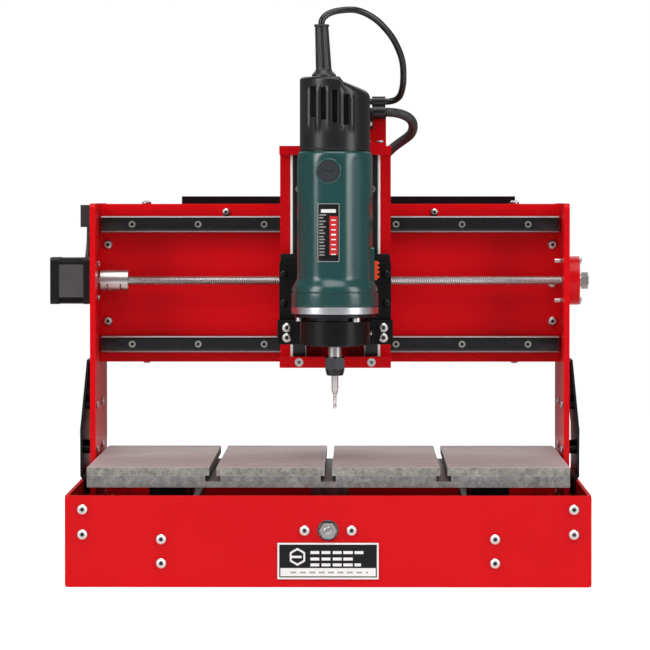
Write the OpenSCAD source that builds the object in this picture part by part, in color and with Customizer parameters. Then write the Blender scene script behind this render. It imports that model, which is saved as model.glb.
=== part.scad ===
// Desktop three-axis CNC router: fixed gantry, moving table, lead-screw drives.
// Origin: centre of the base's underside. +X right, +Y back, +Z up. Millimetres.

/* [Base] */
// Outside width of the base
base_w = 448; // [440:1:480]
// Outside depth of the base
base_d = 420; // [410:1:460]
// Height of the base
base_h = 78; // [76:1:80]
// Thickness of the front and rear panels
panel_t = 4; // [3:0.5:5]
// Thickness of the folded sheet walls
wall_t = 3; // [2:0.5:3]

/* [Gantry] */
// Clear width between the columns
gantry_w = 420; // [420:1:424]
// Thickness of each column plate
column_t = 5; // [4:0.5:5]
// Depth of each column plate
column_d = 160; // [150:1:180]
// Front edge of the columns, measured from the origin
column_front = -25; // [-30:1:-20]
// Height of the top of the columns
gantry_top = 326; // [324:1:340]
// Height of the gantry beam
beam_h = 144; // [144:1:146]
// Depth of the gantry beam
beam_d = 60; // [56:1:70]

/* [Table] */
// Width of the table
table_w = 414; // [400:1:416]
// Depth of the table
table_d = 300; // [280:1:320]
// Centre of the table at rest, front to back
table_y = -33; // [-40:1:-20]
// Height of the table's top face
table_top = 100; // [100:1:101]
// Thickness of the clamping plates on the table
plate_t = 7; // [6:0.5:8]
// Opening of each T-slot
slot_w = 6.4; // [6:0.2:8]

/* [Guides and drives] */
// Length of one guide block
block_l = 61.4; // [50:0.2:64]
// Distance of each Y rail from the centre line
y_rail_x = 142; // [130:1:145]
// Height of the lower X rail
x_rail_low = 198; // [196:1:199]
// Height of the upper X rail
x_rail_high = 307; // [305:1:308]
// Distance of each Z rail from the carriage centre
z_rail_x = 33; // [32:0.5:33]
// Diameter of the lead screws
screw_d = 8; // [8:1:8]
// Width across the flats of the stepper motors
motor_w = 42.3; // [40:0.1:44]
// Length of the stepper motors
motor_l = 38; // [34:1:48]

/* [Carriage and head] */
// Position of the carriage at rest
carriage_x = 5; // [-20:1:20]
// Width of the carriage
carriage_w = 100; // [100:1:104]
// Distance of the tool axis in front of the origin
axis_front = 72; // [71.5:0.5:76]
// Height of the tool tip at rest
tip_z = 145; // [140:1:150]
// Outer diameter of the spindle clamp ring
clamp_d = 62; // [60:1:64]
// Diameter of the spindle motor's neck
neck_d = 43; // [43:1:43]
// Diameter of the spindle motor's body
body_d = 67.5; // [66:0.5:68]

/* [Hidden] */
$fn = 48;
fit = 0.05;
running = 0.05;
// Guide rail profile and hole pattern
rail_w = 15;
rail_h = 15;
rail_pitch = 60;
rail_sink_d = 7.5;
rail_sink_h = 5.3;
block_w = 34;
block_h = 28;
block_lift = 4.3;
block_pitch = 26;
// Fasteners
m4 = 4;
m5 = 5;
// Base
inner_x = base_w / 2 - wall_t;
front_y = -base_d / 2;
inner_y = base_d / 2 - panel_t;
beam_foot_w = 40;
bed_t = 10;
rail_seat = table_top - plate_t - bed_t - block_h;
bed_z = table_top - plate_t - bed_t;
y_screw_z = 48.5;
bearing_od = 22;
bearing_l = 7;
// Gantry
column_x = gantry_w / 2;
beam_face = 40;
beam_z = gantry_top - 0.5 - beam_h;
beam_t = 4;
beam_back = beam_face + beam_d;
x_screw_y = 26;
x_screw_z = 256;
// Carriage stack, front to back
web_back = beam_face - block_h;
web_t = 6;
web_face = web_back - web_t;
frame_bottom = 178.5;
frame_top = 377.5;
top_plate_t = 8;
bottom_plate_t = 10;
z_screw_y = -8;
head_back = web_face - block_h;
head_plate_t = 10;
head_face = head_back - head_plate_t;
// Head
axis_y = -axis_front;
clamp_z = 201.5;
clamp_h = 20.5;
flange_t = 10;
flange_face = head_face - flange_t;
ring_z = 229;
ring_d = 77;
shoulder_low = 249.5;
shoulder_high = 262;
top_round = 2.5;
cap_z = 372.5;
cap_top = 436;
cap_d = 62;
boot_x = carriage_x - 9.5;
boot_tilt = 2.7;
boot_l = 48;

// ---- Helpers ----

// Box from its lowest corner to its highest corner
module block(low, high) {
  translate(low) cube(high - low);
}

// Cylinder of length len along +Y from the origin
module y_rod(d, len) {
  rotate([-90, 0, 0]) cylinder(d = d, h = len);
}

// Cylinder of length len along +X from the origin
module x_rod(d, len) {
  rotate([0, 90, 0]) cylinder(d = d, h = len);
}

// Flat plate outline with rounded corners, centred
module rounded_rect(w, h, r) {
  square([w - 2 * r, h], center = true);
  square([w, h - 2 * r], center = true);
  for (x = [-1, 1], y = [-1, 1]) translate([x * (w / 2 - r), y * (h / 2 - r)]) circle(r = r);
}

// Upright plate facing front and back, rounded corners, lowest corner on z = 0
module upright_plate(w, h, t, r) {
  translate([0, t, h / 2]) rotate([90, 0, 0]) linear_extrude(t) rounded_rect(w, h, r);
}

// Button head screw pointing down: underside of the head on z = 0, shank below
module button_screw(d, shank) {
  head_d = 1.7 * d;
  head_h = 0.62 * d;
  difference() {
    union() {
      cylinder(d = head_d, h = head_h * 0.55);
      translate([0, 0, head_h * 0.55]) cylinder(d1 = head_d, d2 = head_d * 0.62, h = head_h * 0.45);
    }
    translate([0, 0, head_h * 0.4]) cylinder(d = 0.72 * d, h = head_h, $fn = 6);
  }
  translate([0, 0, -shank]) cylinder(d = d, h = shank);
}

// Socket head cap screw pointing down: underside of the head on z = 0
module cap_screw(d, shank) {
  difference() {
    cylinder(d = 1.7 * d, h = d * 0.95);
    translate([0, 0, d * 0.45]) cylinder(d = 0.9 * d, h = d, $fn = 6);
  }
  translate([0, 0, -shank]) cylinder(d = d, h = shank);
}

// Countersunk screw pointing down: top of the head on z = 0
module flat_screw(d, shank) {
  difference() {
    union() {
      translate([0, 0, -0.5 * d]) cylinder(d1 = d, d2 = 1.9 * d, h = 0.5 * d);
      translate([0, 0, -shank]) cylinder(d = d, h = shank - 0.5 * d);
    }
    translate([0, 0, -0.35 * d]) cylinder(d = 0.7 * d, h = d, $fn = 6);
  }
}

// Seat cut for a countersunk screw whose head lies flush with z = 0
module flat_seat(d, depth) {
  hole_d = d + 2 * fit;
  translate([0, 0, -0.5 * d - fit]) cylinder(d1 = hole_d, d2 = 1.9 * d + 2 * fit, h = 0.5 * d + 2 * fit);
  translate([0, 0, -depth]) cylinder(d = hole_d, h = depth);
}

// Guide rail seen along its length: flat foot on y = 0, waist for the balls, bevelled head
module rail_profile() {
  waist = 1.9;
  bevel = 1.4;
  polygon([[-rail_w / 2, 0], [rail_w / 2, 0], [rail_w / 2, 5.4], [rail_w / 2 - waist, 7.2],
    [rail_w / 2 - waist, 9], [rail_w / 2, 10.8], [rail_w / 2, rail_h - bevel], [rail_w / 2 - bevel, rail_h],
    [bevel - rail_w / 2, rail_h], [-rail_w / 2, rail_h - bevel], [-rail_w / 2, 10.8],
    [waist - rail_w / 2, 9], [waist - rail_w / 2, 7.2], [-rail_w / 2, 5.4]]);
}

// Hole centres along a rail
function rail_holes(count) = [for (i = [0:count - 1]) (i - (count - 1) / 2) * rail_pitch];

// Rail along X, foot on z = 0, drilled and counterbored from the top
module rail(len, count) {
  difference() {
    translate([-len / 2, 0, 0]) rotate([90, 0, 90]) linear_extrude(len) rail_profile();
    for (x = rail_holes(count)) translate([x, 0, 0]) {
      translate([0, 0, -1]) cylinder(d = 4.5, h = rail_h);
      translate([0, 0, rail_h - rail_sink_h]) cylinder(d = rail_sink_d, h = rail_h);
    }
  }
}

// Screws that hold a rail, seated in its counterbores
module rail_screws(count, shank) {
  for (x = rail_holes(count)) translate([x, 0, rail_h - rail_sink_h]) cap_screw(m4, shank);
}

// Guide block on a rail along X, rail foot on z = 0: steel body, plastic end caps, channel below
module guide_block() {
  cap_l = 10.5;
  body_l = block_l - 2 * cap_l;
  channel_w = rail_w + 0.8;
  half = block_w / 2;
  step = 0.8;
  difference() {
    union() {
      block([-body_l / 2, -half, block_lift], [body_l / 2, half, block_h]);
      block([-block_l / 2, step - half, block_lift + step / 2], [block_l / 2, half - step, block_h - step]);
    }
    block([-block_l, -channel_w / 2, 0], [block_l, channel_w / 2, rail_h + 0.4]);
    for (x = [-1, 1], y = [-1, 1]) translate([x * block_pitch / 2, y * block_pitch / 2, block_h - 6])
      cylinder(d = m4 + 2 * fit, h = 10);
  }
}

// Screws that hold a plate of thickness t to a guide block
module block_screws(t) {
  for (x = [-1, 1], y = [-1, 1]) translate([x * block_pitch / 2, y * block_pitch / 2, block_h + t])
    button_screw(m4, t + 5);
}

// Clearance holes for block_screws
module block_holes(t) {
  for (x = [-1, 1], y = [-1, 1]) translate([x * block_pitch / 2, y * block_pitch / 2, block_h - 1])
    cylinder(d = m4 + 2 * fit, h = t + 2);
}

// Square stepper motor, shaft side up on z = 0, body below
module stepper() {
  end_l = 8;
  corner = 4;
  pilot_d = 22;
  bolt_pitch = 31;
  difference() {
    union() {
      translate([0, 0, -end_l]) linear_extrude(end_l) rounded_rect(motor_w, motor_w, corner);
      cylinder(d = pilot_d, h = 2);
    }
    translate([0, 0, -end_l - 1]) cylinder(d = 6, h = end_l + 4);
    for (x = [-1, 1], y = [-1, 1]) translate([x * bolt_pitch / 2, y * bolt_pitch / 2, -5])
      cylinder(d = 3 + 2 * fit, h = 6);
  }
  translate([0, 0, end_l - motor_l]) linear_extrude(motor_l - 2 * end_l) difference() {
    rounded_rect(motor_w - 0.6, motor_w - 0.6, 7);
    circle(d = 6);
  }
  translate([0, 0, -motor_l]) linear_extrude(end_l) rounded_rect(motor_w, motor_w, corner);
}

// Screws that hold a stepper to a plate of thickness t, at the given corners
module stepper_screws(t, corners) {
  for (c = corners) translate([c[0] * 15.5, c[1] * 15.5, t]) button_screw(3, t + 4);
}

// Clearance cuts in the plate that carries a stepper
module stepper_holes(t, corners) {
  translate([0, 0, -1]) cylinder(d = 22.4, h = t + 2);
  for (c = corners) translate([c[0] * 15.5, c[1] * 15.5, -1]) cylinder(d = 3 + 2 * fit, h = t + 2);
}

// Deep-groove ball bearing as one ring, axis along Z, base on z = 0
module ball_bearing() {
  difference() {
    cylinder(d = bearing_od - 2 * fit, h = bearing_l);
    translate([0, 0, -1]) cylinder(d = screw_d + 2 * running, h = bearing_l + 2);
  }
}

// Shaft coupler along Z from z = 0: screw bore above, motor bore below, two clamp grooves
module coupler(len) {
  difference() {
    cylinder(d = 19, h = len);
    translate([0, 0, -1]) cylinder(d = 5 + 2 * fit, h = len);
    translate([0, 0, len / 2]) cylinder(d = screw_d + 2 * fit, h = len);
    for (z = [len * 0.26, len * 0.74]) translate([3, -10, z - 0.5]) cube([8, 20, 1]);
  }
}

// Hexagon lock nut along Z from z = 0 with a collar that reaches the bearing
module lock_nut() {
  difference() {
    union() {
      cylinder(d = 11, h = 2);
      translate([0, 0, 2]) cylinder(d = 15, h = 6, $fn = 6);
    }
    translate([0, 0, -1]) cylinder(d = screw_d + 2 * fit, h = 10);
  }
}

// Flanged brass nut along Z: flange on z = 0, barrel of length len above it
module brass_nut(len) {
  difference() {
    union() {
      cylinder(d = 22, h = 3.5);
      cylinder(d = 10.2, h = len);
    }
    translate([0, 0, -1]) cylinder(d = screw_d + 2 * running, h = len + 2);
  }
}

// Tube of the given radius swept along a list of points
function unit(v) = v / norm(v);
function tangent(p, i) = unit(p[min(i + 1, len(p) - 1)] - p[max(i - 1, 0)]);
function ring(c, t, r, n) = let (
    side = unit(cross(t, [0.31, 1, 0.17])),
    up = cross(side, t)
  ) [for (k = [0:n - 1]) c + r * (cos(360 * k / n) * side + sin(360 * k / n) * up)];
module swept_tube(path, r, n = 16) {
  rings = [for (i = [0:len(path) - 1]) ring(path[i], tangent(path, i), r, n)];
  points = [for (ring_points = rings) each ring_points];
  sides = [for (i = [0:len(path) - 2], k = [0:n - 1])
    [i * n + k, i * n + (k + 1) % n, (i + 1) * n + (k + 1) % n, (i + 1) * n + k]];
  last = (len(path) - 1) * n;
  start_cap = [for (k = [n - 1:-1:0]) k];
  end_cap = [for (k = [0:n - 1]) last + k];
  polyhedron(points, concat([start_cap], sides, [end_cap]));
}

// Point on a cubic Bezier curve
function bezier(a, b, c, d, u) =
  pow(1 - u, 3) * a + 3 * u * pow(1 - u, 2) * b + 3 * u * u * (1 - u) * c + pow(u, 3) * d;

// ---- Base ----

// Panel screw positions as [x, z]
corner_holes = [for (x = [-209, 209], z = [45, 66.3]) [x, z]];
beam_holes = [for (x = [-y_rail_x, y_rail_x], z = [20.5, 41]) [x, z]];
bearing_holes = [for (x = [-20, 20]) [x, y_screw_z]];
foot_holes = [for (x = [-190, 190], y = [-170, 170]) [x, y]];
wall_holes = [for (y = [0, 55, 110], z = [22, 56]) [y, z]];
all_corners = [[1, 1], [1, -1], [-1, 1], [-1, -1]];

// Holes through an upright plate that starts at y = 0
module panel_holes(places, d, t) {
  for (p = places) translate([p[0], -1, p[1]]) y_rod(d, t + 2);
}

module front_panel() {
  color([0.82, 0.02, 0.06]) translate([0, front_y, 0]) difference() {
    upright_plate(base_w, base_h, panel_t, 3);
    panel_holes(concat(corner_holes, beam_holes, bearing_holes), m5 + 2 * fit, panel_t);
    panel_holes([[0, y_screw_z]], 18, panel_t);
  }
}

module rear_panel() {
  color([0.82, 0.02, 0.06]) translate([0, inner_y, 0]) difference() {
    upright_plate(base_w, base_h, panel_t, 3);
    panel_holes(concat(corner_holes, beam_holes), m5 + 2 * fit, panel_t);
    translate([0, panel_t, y_screw_z]) rotate([90, 0, 0]) stepper_holes(panel_t, all_corners);
  }
}

// Wall with end flanges and welded spacer bosses, for the +X side
module side_wall() {
  flange_w = 25;
  difference() {
    union() {
      block([inner_x, -inner_y, 0], [inner_x + wall_t, inner_y, base_h]);
      for (y = [-inner_y, inner_y - wall_t])
        block([inner_x - flange_w, y, wall_t], [inner_x, y + wall_t, base_h - 4]);
      for (p = wall_holes) translate([column_x + column_t, p[0], p[1]])
        x_rod(16, inner_x - column_x - column_t);
    }
    for (p = wall_holes) translate([column_x, p[0], p[1]]) x_rod(6 + 2 * fit, 20);
    for (p = corner_holes) translate([p[0], -inner_y - 1, p[1]]) y_rod(m5 + 2 * fit, base_d);
  }
}

module left_side_wall() {
  color([0.8, 0.02, 0.06]) mirror([1, 0, 0]) side_wall();
}

module right_side_wall() {
  color([0.8, 0.02, 0.06]) side_wall();
}

module base_tray() {
  color([0.78, 0.02, 0.06]) difference() {
    block([-inner_x, -inner_y, 0], [inner_x, inner_y, wall_t]);
    for (p = foot_holes) translate([p[0], p[1], -1]) cylinder(d = 7, h = wall_t + 2);
  }
}

// Folded channel, open below, with solid ends that take the panel screws
module rail_beams() {
  end_l = 14;
  skin = 4;
  half = beam_foot_w / 2;
  color([0.16, 0.16, 0.17]) for (x = [-y_rail_x, y_rail_x]) difference() {
    block([x - half, -inner_y, wall_t], [x + half, inner_y, rail_seat]);
    block([x - half + skin, end_l - inner_y, wall_t - 1],
      [x + half - skin, inner_y - end_l, rail_seat - skin]);
    for (z = [20.5, 41], y = [-inner_y - 1, inner_y - end_l + 1])
      translate([x, y, z]) y_rod(m5 + 2 * fit, end_l);
    for (y = rail_holes(7)) translate([x, y, rail_seat - 10]) cylinder(d = m4 + 2 * fit, h = 12);
  }
}

// Both Y rails stand on the rail beams
module place_y_rails() {
  for (x = [-y_rail_x, y_rail_x]) translate([x, 0, rail_seat]) rotate([0, 0, 90]) children();
}

module y_rails() {
  color([0.5, 0.5, 0.52]) place_y_rails() rail(400, 7);
}

module y_motor() {
  color([0.1, 0.1, 0.11]) translate([0, base_d / 2, y_screw_z]) rotate([90, 0, 0]) stepper();
}

module y_front_bearing() {
  color([0.6, 0.61, 0.63]) translate([0, -inner_y, y_screw_z]) {
    difference() {
      block([-28, 0, -15], [28, 14, 15]);
      translate([0, -1, 0]) y_rod(bearing_od, bearing_l + 1);
      translate([0, -1, 0]) y_rod(12, 16);
      for (x = [-20, 20]) translate([x, -1, 0]) y_rod(m5 + 2 * fit, 10);
    }
    rotate([-90, 0, 0]) ball_bearing();
  }
}

// ---- Gantry ----

beam_end_holes = [for (x = [-203, 203], z = [218.5, 253.5, 288.5]) [x, z]];
seam_holes = [for (x = [-95, 95]) [x, beam_z + beam_h - 7.5]];
flange_hole_x = [-170, 170];
cover_holes = [for (y = [-10, 60], z = [105, 145]) [y, z]];

// Column for the +X side, with the welded angle that carries the beam
module column(screw_hole_d) {
  angle_w = 25;
  difference() {
    union() {
      translate([column_x, column_front + column_d / 2, (gantry_top + wall_t) / 2]) rotate([90, 0, 90])
        linear_extrude(column_t) rounded_rect(column_d, gantry_top - wall_t, 5);
      block([column_x - angle_w, beam_face + beam_t, beam_z + 8],
        [column_x, beam_face + 2 * beam_t, beam_z + beam_h - 8]);
    }
    translate([column_x - 1, x_screw_y, x_screw_z]) x_rod(screw_hole_d, column_t + 2);
    for (p = wall_holes) translate([column_x - 1, p[0], p[1]]) x_rod(6 + 2 * fit, column_t + 2);
    for (p = cover_holes) translate([column_x - 1, p[0], p[1]]) x_rod(m4 + 2 * fit, column_t + 2);
    for (p = beam_end_holes) translate([p[0], beam_face, p[1]]) y_rod(m5 + 2 * fit, 10);
  }
}

module left_column() {
  color([0.8, 0.02, 0.06]) difference() {
    mirror([1, 0, 0]) column(22.4);
    translate([-column_x - column_t, x_screw_y, x_screw_z]) rotate([0, 90, 0])
      stepper_holes(column_t, [[1, -1], [-1, -1]]);
  }
}

module right_column() {
  color([0.8, 0.02, 0.06]) difference() {
    column(12);
    for (z = [-18, 18]) translate([column_x - 1, x_screw_y, x_screw_z + z]) x_rod(m4 + 2 * fit, column_t + 2);
  }
}

// Folded sheet duct outside the +X column, with welded studs
module column_cover() {
  depth = 110;
  low = 68;
  high = 186;
  bend = 123;
  skin = 2;
  face = column_x + column_t;
  edge = base_w / 2;
  difference() {
    union() {
      translate([0, column_front + depth, 0]) rotate([90, 0, 0]) linear_extrude(depth) polygon([
        [inner_x - skin, low], [inner_x, low], [inner_x, base_h], [edge, base_h + 3], [edge, bend],
        [face + 2.8, high], [face, high], [face, high - skin], [face + 1, high - skin],
        [edge - skin, bend], [edge - skin, base_h + 4], [inner_x - skin, base_h + 1]]);
      for (p = cover_holes) translate([face, p[0], p[1]]) x_rod(8, p[1] < bend ? 8 : 5.5);
    }
    for (p = cover_holes) translate([face - 1, p[0], p[1]]) x_rod(m4 + 2 * fit, 5);
  }
}

module column_covers() {
  color([0.05, 0.05, 0.055]) for (m = [0, 1]) mirror([m, 0, 0]) column_cover();
}

// Folded channel, open at the back
module gantry_beam() {
  color([0.78, 0.01, 0.05]) difference() {
    block([-column_x, beam_face, beam_z], [column_x, beam_back, beam_z + beam_h]);
    block([-column_x - 1, beam_face + beam_t, beam_z + beam_t],
      [column_x + 1, beam_back + 1, beam_z + beam_h - beam_t]);
    translate([0, beam_face, 0]) panel_holes(beam_end_holes, m5 + 2 * fit, beam_t);
    translate([0, beam_face, 0]) panel_holes(seam_holes, m4 + 2 * fit, beam_t);
    for (x = rail_holes(7), z = [x_rail_low, x_rail_high])
      translate([x, beam_face - 1, z]) y_rod(m4 + 2 * fit, beam_t + 2);
    for (x = flange_hole_x) translate([x, beam_back - 12, beam_z - 1])
      cylinder(d = m5 + 2 * fit, h = beam_h + 2);
  }
}

module beam_back_plate() {
  low = beam_z + beam_t;
  high = beam_z + beam_h - beam_t;
  skin = 3;
  lip = 20;
  color([0.74, 0.01, 0.05]) difference() {
    block([-column_x, beam_back - lip - skin, low], [column_x, beam_back, high]);
    block([-column_x - 1, beam_back - lip - skin - 1, low + skin],
      [column_x + 1, beam_back - skin, high - skin]);
    for (x = flange_hole_x) translate([x, beam_back - 12, low - 1]) cylinder(d = m5 + 2 * fit, h = beam_h);
    translate([60, beam_back - skin - 1, 250]) y_rod(22, skin + 2);
    for (p = box_feet) translate([p[0], beam_back - skin - 1, p[1]]) y_rod(m4 + 2 * fit, skin + 2);
  }
}

// Both X rails stand on the front of the beam
module place_x_rails() {
  for (z = [x_rail_low, x_rail_high]) translate([0, beam_face, z]) rotate([90, 0, 0]) children();
}

module x_rails() {
  color([0.5, 0.5, 0.52]) place_x_rails() rail(416, 7);
}

module x_motor() {
  color([0.1, 0.1, 0.11]) translate([-column_x - column_t, x_screw_y, x_screw_z])
    rotate([0, 90, 0]) stepper();
}

module x_end_bearing() {
  length = 11;
  color([0.8, 0.03, 0.05]) translate([column_x + column_t, x_screw_y, x_screw_z]) rotate([0, 90, 0]) {
    difference() {
      cylinder(d = 44, h = length);
      translate([0, 0, -1]) cylinder(d = 12, h = length);
      translate([0, 0, length - bearing_l]) cylinder(d = bearing_od, h = length);
      for (x = [-18, 18]) translate([x, 0, -1]) cylinder(d = m4 + 2 * fit, h = length + 2);
    }
    translate([0, 0, length - bearing_l]) ball_bearing();
  }
}

// Control box on the back of the beam
box_low = [-138, beam_back, 199.5];
box_high = [171, beam_back + 40, 332.5];
box_skin = 2.5;
box_feet = [for (x = [box_low[0] + 25, box_high[0] - 25], z = [box_low[2] + 25, box_high[2] - 25]) [x, z]];
lid_holes = [for (x = [box_low[0] + 8, box_high[0] - 8], z = [box_low[2] + 8, box_high[2] - 8]) [x, z]];
gland_x = 40;

module control_box() {
  color([0.06, 0.06, 0.065]) difference() {
    union() {
      difference() {
        block(box_low, box_high);
        block(box_low + [box_skin, box_skin, box_skin], box_high + [-box_skin, 1, -box_skin]);
      }
      for (p = lid_holes) translate([p[0], box_low[1] + 1, p[1]]) y_rod(9, 39);
      translate([gland_x, beam_back + 20, box_high[2] - 1]) cylinder(d = 17, h = 9);
    }
    for (p = lid_holes) translate([p[0], box_high[1] - 12, p[1]]) y_rod(3 + 2 * fit, 14);
    for (p = box_feet) translate([p[0], box_low[1] - 1, p[1]]) y_rod(m4 + 2 * fit, 6);
    translate([60, box_low[1] - 1, 250]) y_rod(22, 6);
    translate([gland_x, beam_back + 20, box_high[2] - 4]) cylinder(d = 10.2, h = 14);
  }
}

module control_box_lid() {
  color([0.07, 0.07, 0.075]) difference() {
    block([box_low[0], box_high[1], box_low[2]], [box_high[0], box_high[1] + box_skin, box_high[2]]);
    for (p = lid_holes) translate([p[0], box_high[1] - 1, p[1]]) y_rod(3 + 2 * fit, 5);
    for (i = [0:11]) translate([-72 + 16 * i, box_high[1] - 1, 235]) block([-2.5, 0, 0], [2.5, 5, 60]);
  }
}

// Circuit board with standoffs, four driver heat sinks and a socket row, as one assembly
module control_board() {
  board_y = box_low[1] + box_skin + 6;
  color([0.05, 0.3, 0.12]) {
    block([-105, board_y, 215], [145, board_y + 1.6, 315]);
    for (x = [-95, 135], z = [222, 308]) translate([x, board_y - 6, z]) y_rod(6, 6.5);
    for (i = [0:3]) block([-85 + 45 * i, board_y + 1, 270], [-65 + 45 * i, board_y + 14, 300]);
    block([-90, board_y + 1, 220], [130, board_y + 10, 229]);
  }
}

// Gland block behind the left column and the lead that runs down to the X motor
module cable_entry() {
  start = [-column_x - 14, 98, 305];
  finish = [-column_x - 17, x_screw_y + motor_w / 2 + 0.3, 262];
  color([0.05, 0.05, 0.055]) {
    block([-column_x - 21, 84, 304], [-column_x - column_t, 112, 324.5]);
    swept_tube([for (i = [0:12])
      bezier(start, start + [0, 0, -32], finish + [0, 34, 0], finish, i / 12)], 2.2, 12);
  }
}

module name_plate() {
  color([0.08, 0.08, 0.09]) translate([0, front_y - 1, 7]) upright_plate(86, 31, 1, 1);
}

// Places a child whose +Z should point out of the front of a plate, at [x, z] positions
module from_front(places, y) {
  for (p = places) translate([p[0], y, p[1]]) rotate([90, 0, 0]) children();
}

// Places a child whose +Z should point backwards, at [x, z] positions
module from_back(places, y) {
  for (p = places) translate([p[0], y, p[1]]) rotate([-90, 0, 0]) children();
}

module frame_bolts() {
  color([0.75, 0.75, 0.77]) {
    from_front(concat(corner_holes, beam_holes, bearing_holes), front_y) button_screw(m5, 12);
    from_back(concat(corner_holes, beam_holes), base_d / 2) button_screw(m5, 12);
    from_front(beam_end_holes, beam_face) button_screw(m5, 8);
    from_front(seam_holes, beam_face) button_screw(m4, beam_t);
    from_back(lid_holes, box_high[1] + box_skin) button_screw(3, 10);
    from_back(box_feet, box_low[1] + box_skin) button_screw(m4, 6);
    for (x = flange_hole_x) {
      translate([x, beam_back - 12, beam_z + beam_h]) button_screw(m5, 9);
      translate([x, beam_back - 12, beam_z]) mirror([0, 0, 1]) button_screw(m5, 9);
    }
    for (m = [0, 1]) mirror([m, 0, 0]) {
      for (p = wall_holes) translate([base_w / 2, p[0], p[1]]) rotate([0, 90, 0]) button_screw(6, 15);
      for (p = cover_holes) translate([column_x, p[0], p[1]]) rotate([0, -90, 0]) button_screw(m4, 8.5);
    }
    translate([0, base_d / 2, y_screw_z]) rotate([90, 0, 0]) stepper_screws(panel_t, all_corners);
    translate([-column_x - column_t, x_screw_y, x_screw_z]) rotate([0, 90, 0])
      stepper_screws(column_t, [[1, -1], [-1, -1]]);
    for (z = [-18, 18]) translate([column_x + column_t + 11, x_screw_y, x_screw_z + z]) rotate([0, 90, 0])
      button_screw(m4, 22);
  }
}

module rail_bolts() {
  color([0.78, 0.78, 0.8]) {
    place_y_rails() rail_screws(7, 14);
    place_x_rails() rail_screws(7, 14);
  }
}

// ---- Table ----

slot_x = [-99, 0, 99];
groove_w = 13;
groove_h = 5;
table_front = table_y - table_d / 2;
table_rear = table_y + table_d / 2;
plate_edges = [for (i = [0:3]) [
  i == 0 ? -table_w / 2 : slot_x[i - 1] + slot_w / 2,
  i == 3 ? table_w / 2 : slot_x[i] - slot_w / 2]];
plate_holes = [for (e = plate_edges, dx = [-30, 30], dy = [-108, 0, 108])
  [(e[0] + e[1]) / 2 + dx, table_y + dy]];
block_y = [table_y - 25, table_y + 85];
nut_y = table_y + 30;
nut_half = 14;
nut_holes = [for (x = [-12, 12]) [x, nut_y]];

// The four Y guide blocks run on the Y rails
module place_y_blocks() {
  for (x = [-y_rail_x, y_rail_x], y = block_y) translate([x, y, rail_seat]) rotate([0, 0, 90]) children();
}

module bed_screw_places() {
  place_y_blocks() for (x = [-1, 1], y = [-1, 1])
    translate([x * block_pitch / 2, y * block_pitch / 2, block_h + bed_t]) children();
  for (p = nut_holes) translate([p[0], p[1], bed_z + bed_t]) children();
}

module table_bed() {
  color([0.62, 0.6, 0.57]) difference() {
    block([-table_w / 2, table_front, bed_z], [table_w / 2, table_rear, bed_z + bed_t]);
    for (x = slot_x) block([x - groove_w / 2, table_front - 1, bed_z + bed_t - groove_h],
      [x + groove_w / 2, table_rear + 1, bed_z + bed_t + 1]);
    bed_screw_places() flat_seat(m4, 12);
    for (p = plate_holes) translate([p[0], p[1], bed_z - 1]) cylinder(d = m5 + 2 * fit, h = bed_t + 2);
  }
}

module table_plates() {
  color([0.66, 0.64, 0.61]) difference() {
    for (e = plate_edges) block([e[0], table_front, table_top - plate_t], [e[1], table_rear, table_top]);
    for (p = plate_holes) translate([p[0], p[1], table_top]) flat_seat(m5, plate_t + 1);
  }
}

module y_blocks() {
  color([0.3, 0.3, 0.32]) place_y_blocks() guide_block();
}

// Aluminium bracket under the table with the flanged brass nut in it
module y_drive_nut() {
  color([0.7, 0.62, 0.4]) {
    difference() {
      block([-17, nut_y - nut_half, 34], [17, nut_y + nut_half, bed_z]);
      translate([0, nut_y - 20, y_screw_z]) y_rod(10.4, 40);
      for (p = nut_holes) translate([p[0], p[1], bed_z - 8]) cylinder(d = m4 + 2 * fit, h = 10);
    }
    translate([0, nut_y + nut_half + 3.5, y_screw_z]) rotate([90, 0, 0]) brass_nut(2 * nut_half + 3.5);
  }
}

module table_screws() {
  color([0.72, 0.72, 0.74]) {
    for (p = plate_holes) translate([p[0], p[1], table_top]) flat_screw(m5, 14);
    bed_screw_places() flat_screw(m4, 14);
  }
}

// ---- Carriage ----

cx = carriage_x;
rail_low = frame_bottom + bottom_plate_t;
rail_high = frame_top - top_plate_t;
end_plate_holes = [for (x = [cx - 42, cx + 42], z = [frame_bottom + 5, frame_top - 4]) [x, z]];
x_nut_holes = [for (x = [cx - 10, cx + 10], z = [x_screw_z - 12, x_screw_z + 12]) [x, z]];
post_holes = [for (x = [cx + 29, cx + 40]) [x, -6]];
stop_holes = [for (x = [cx - 32.5, cx + 32.5]) [x, frame_bottom + 5]];

// The two X guide blocks behind the back plate
module place_x_blocks() {
  for (z = [x_rail_low, x_rail_high]) translate([cx, beam_face, z]) rotate([90, 0, 0]) children();
}

// Both Z rails stand on the front of the back plate, seen at height z
module place_on_web(z) {
  for (x = [-z_rail_x, z_rail_x]) translate([cx + x, web_face, z]) rotate([0, -90, 0]) rotate([90, 0, 0])
    children();
}

module x_blocks() {
  color([0.3, 0.3, 0.32]) place_x_blocks() guide_block();
}

module web_screw_places() {
  place_x_blocks() for (x = [-1, 1], y = [-1, 1])
    translate([x * block_pitch / 2, y * block_pitch / 2, block_h + web_t]) children();
  for (p = x_nut_holes) translate([p[0], web_face, p[1]]) rotate([90, 0, 0]) children();
}

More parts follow.
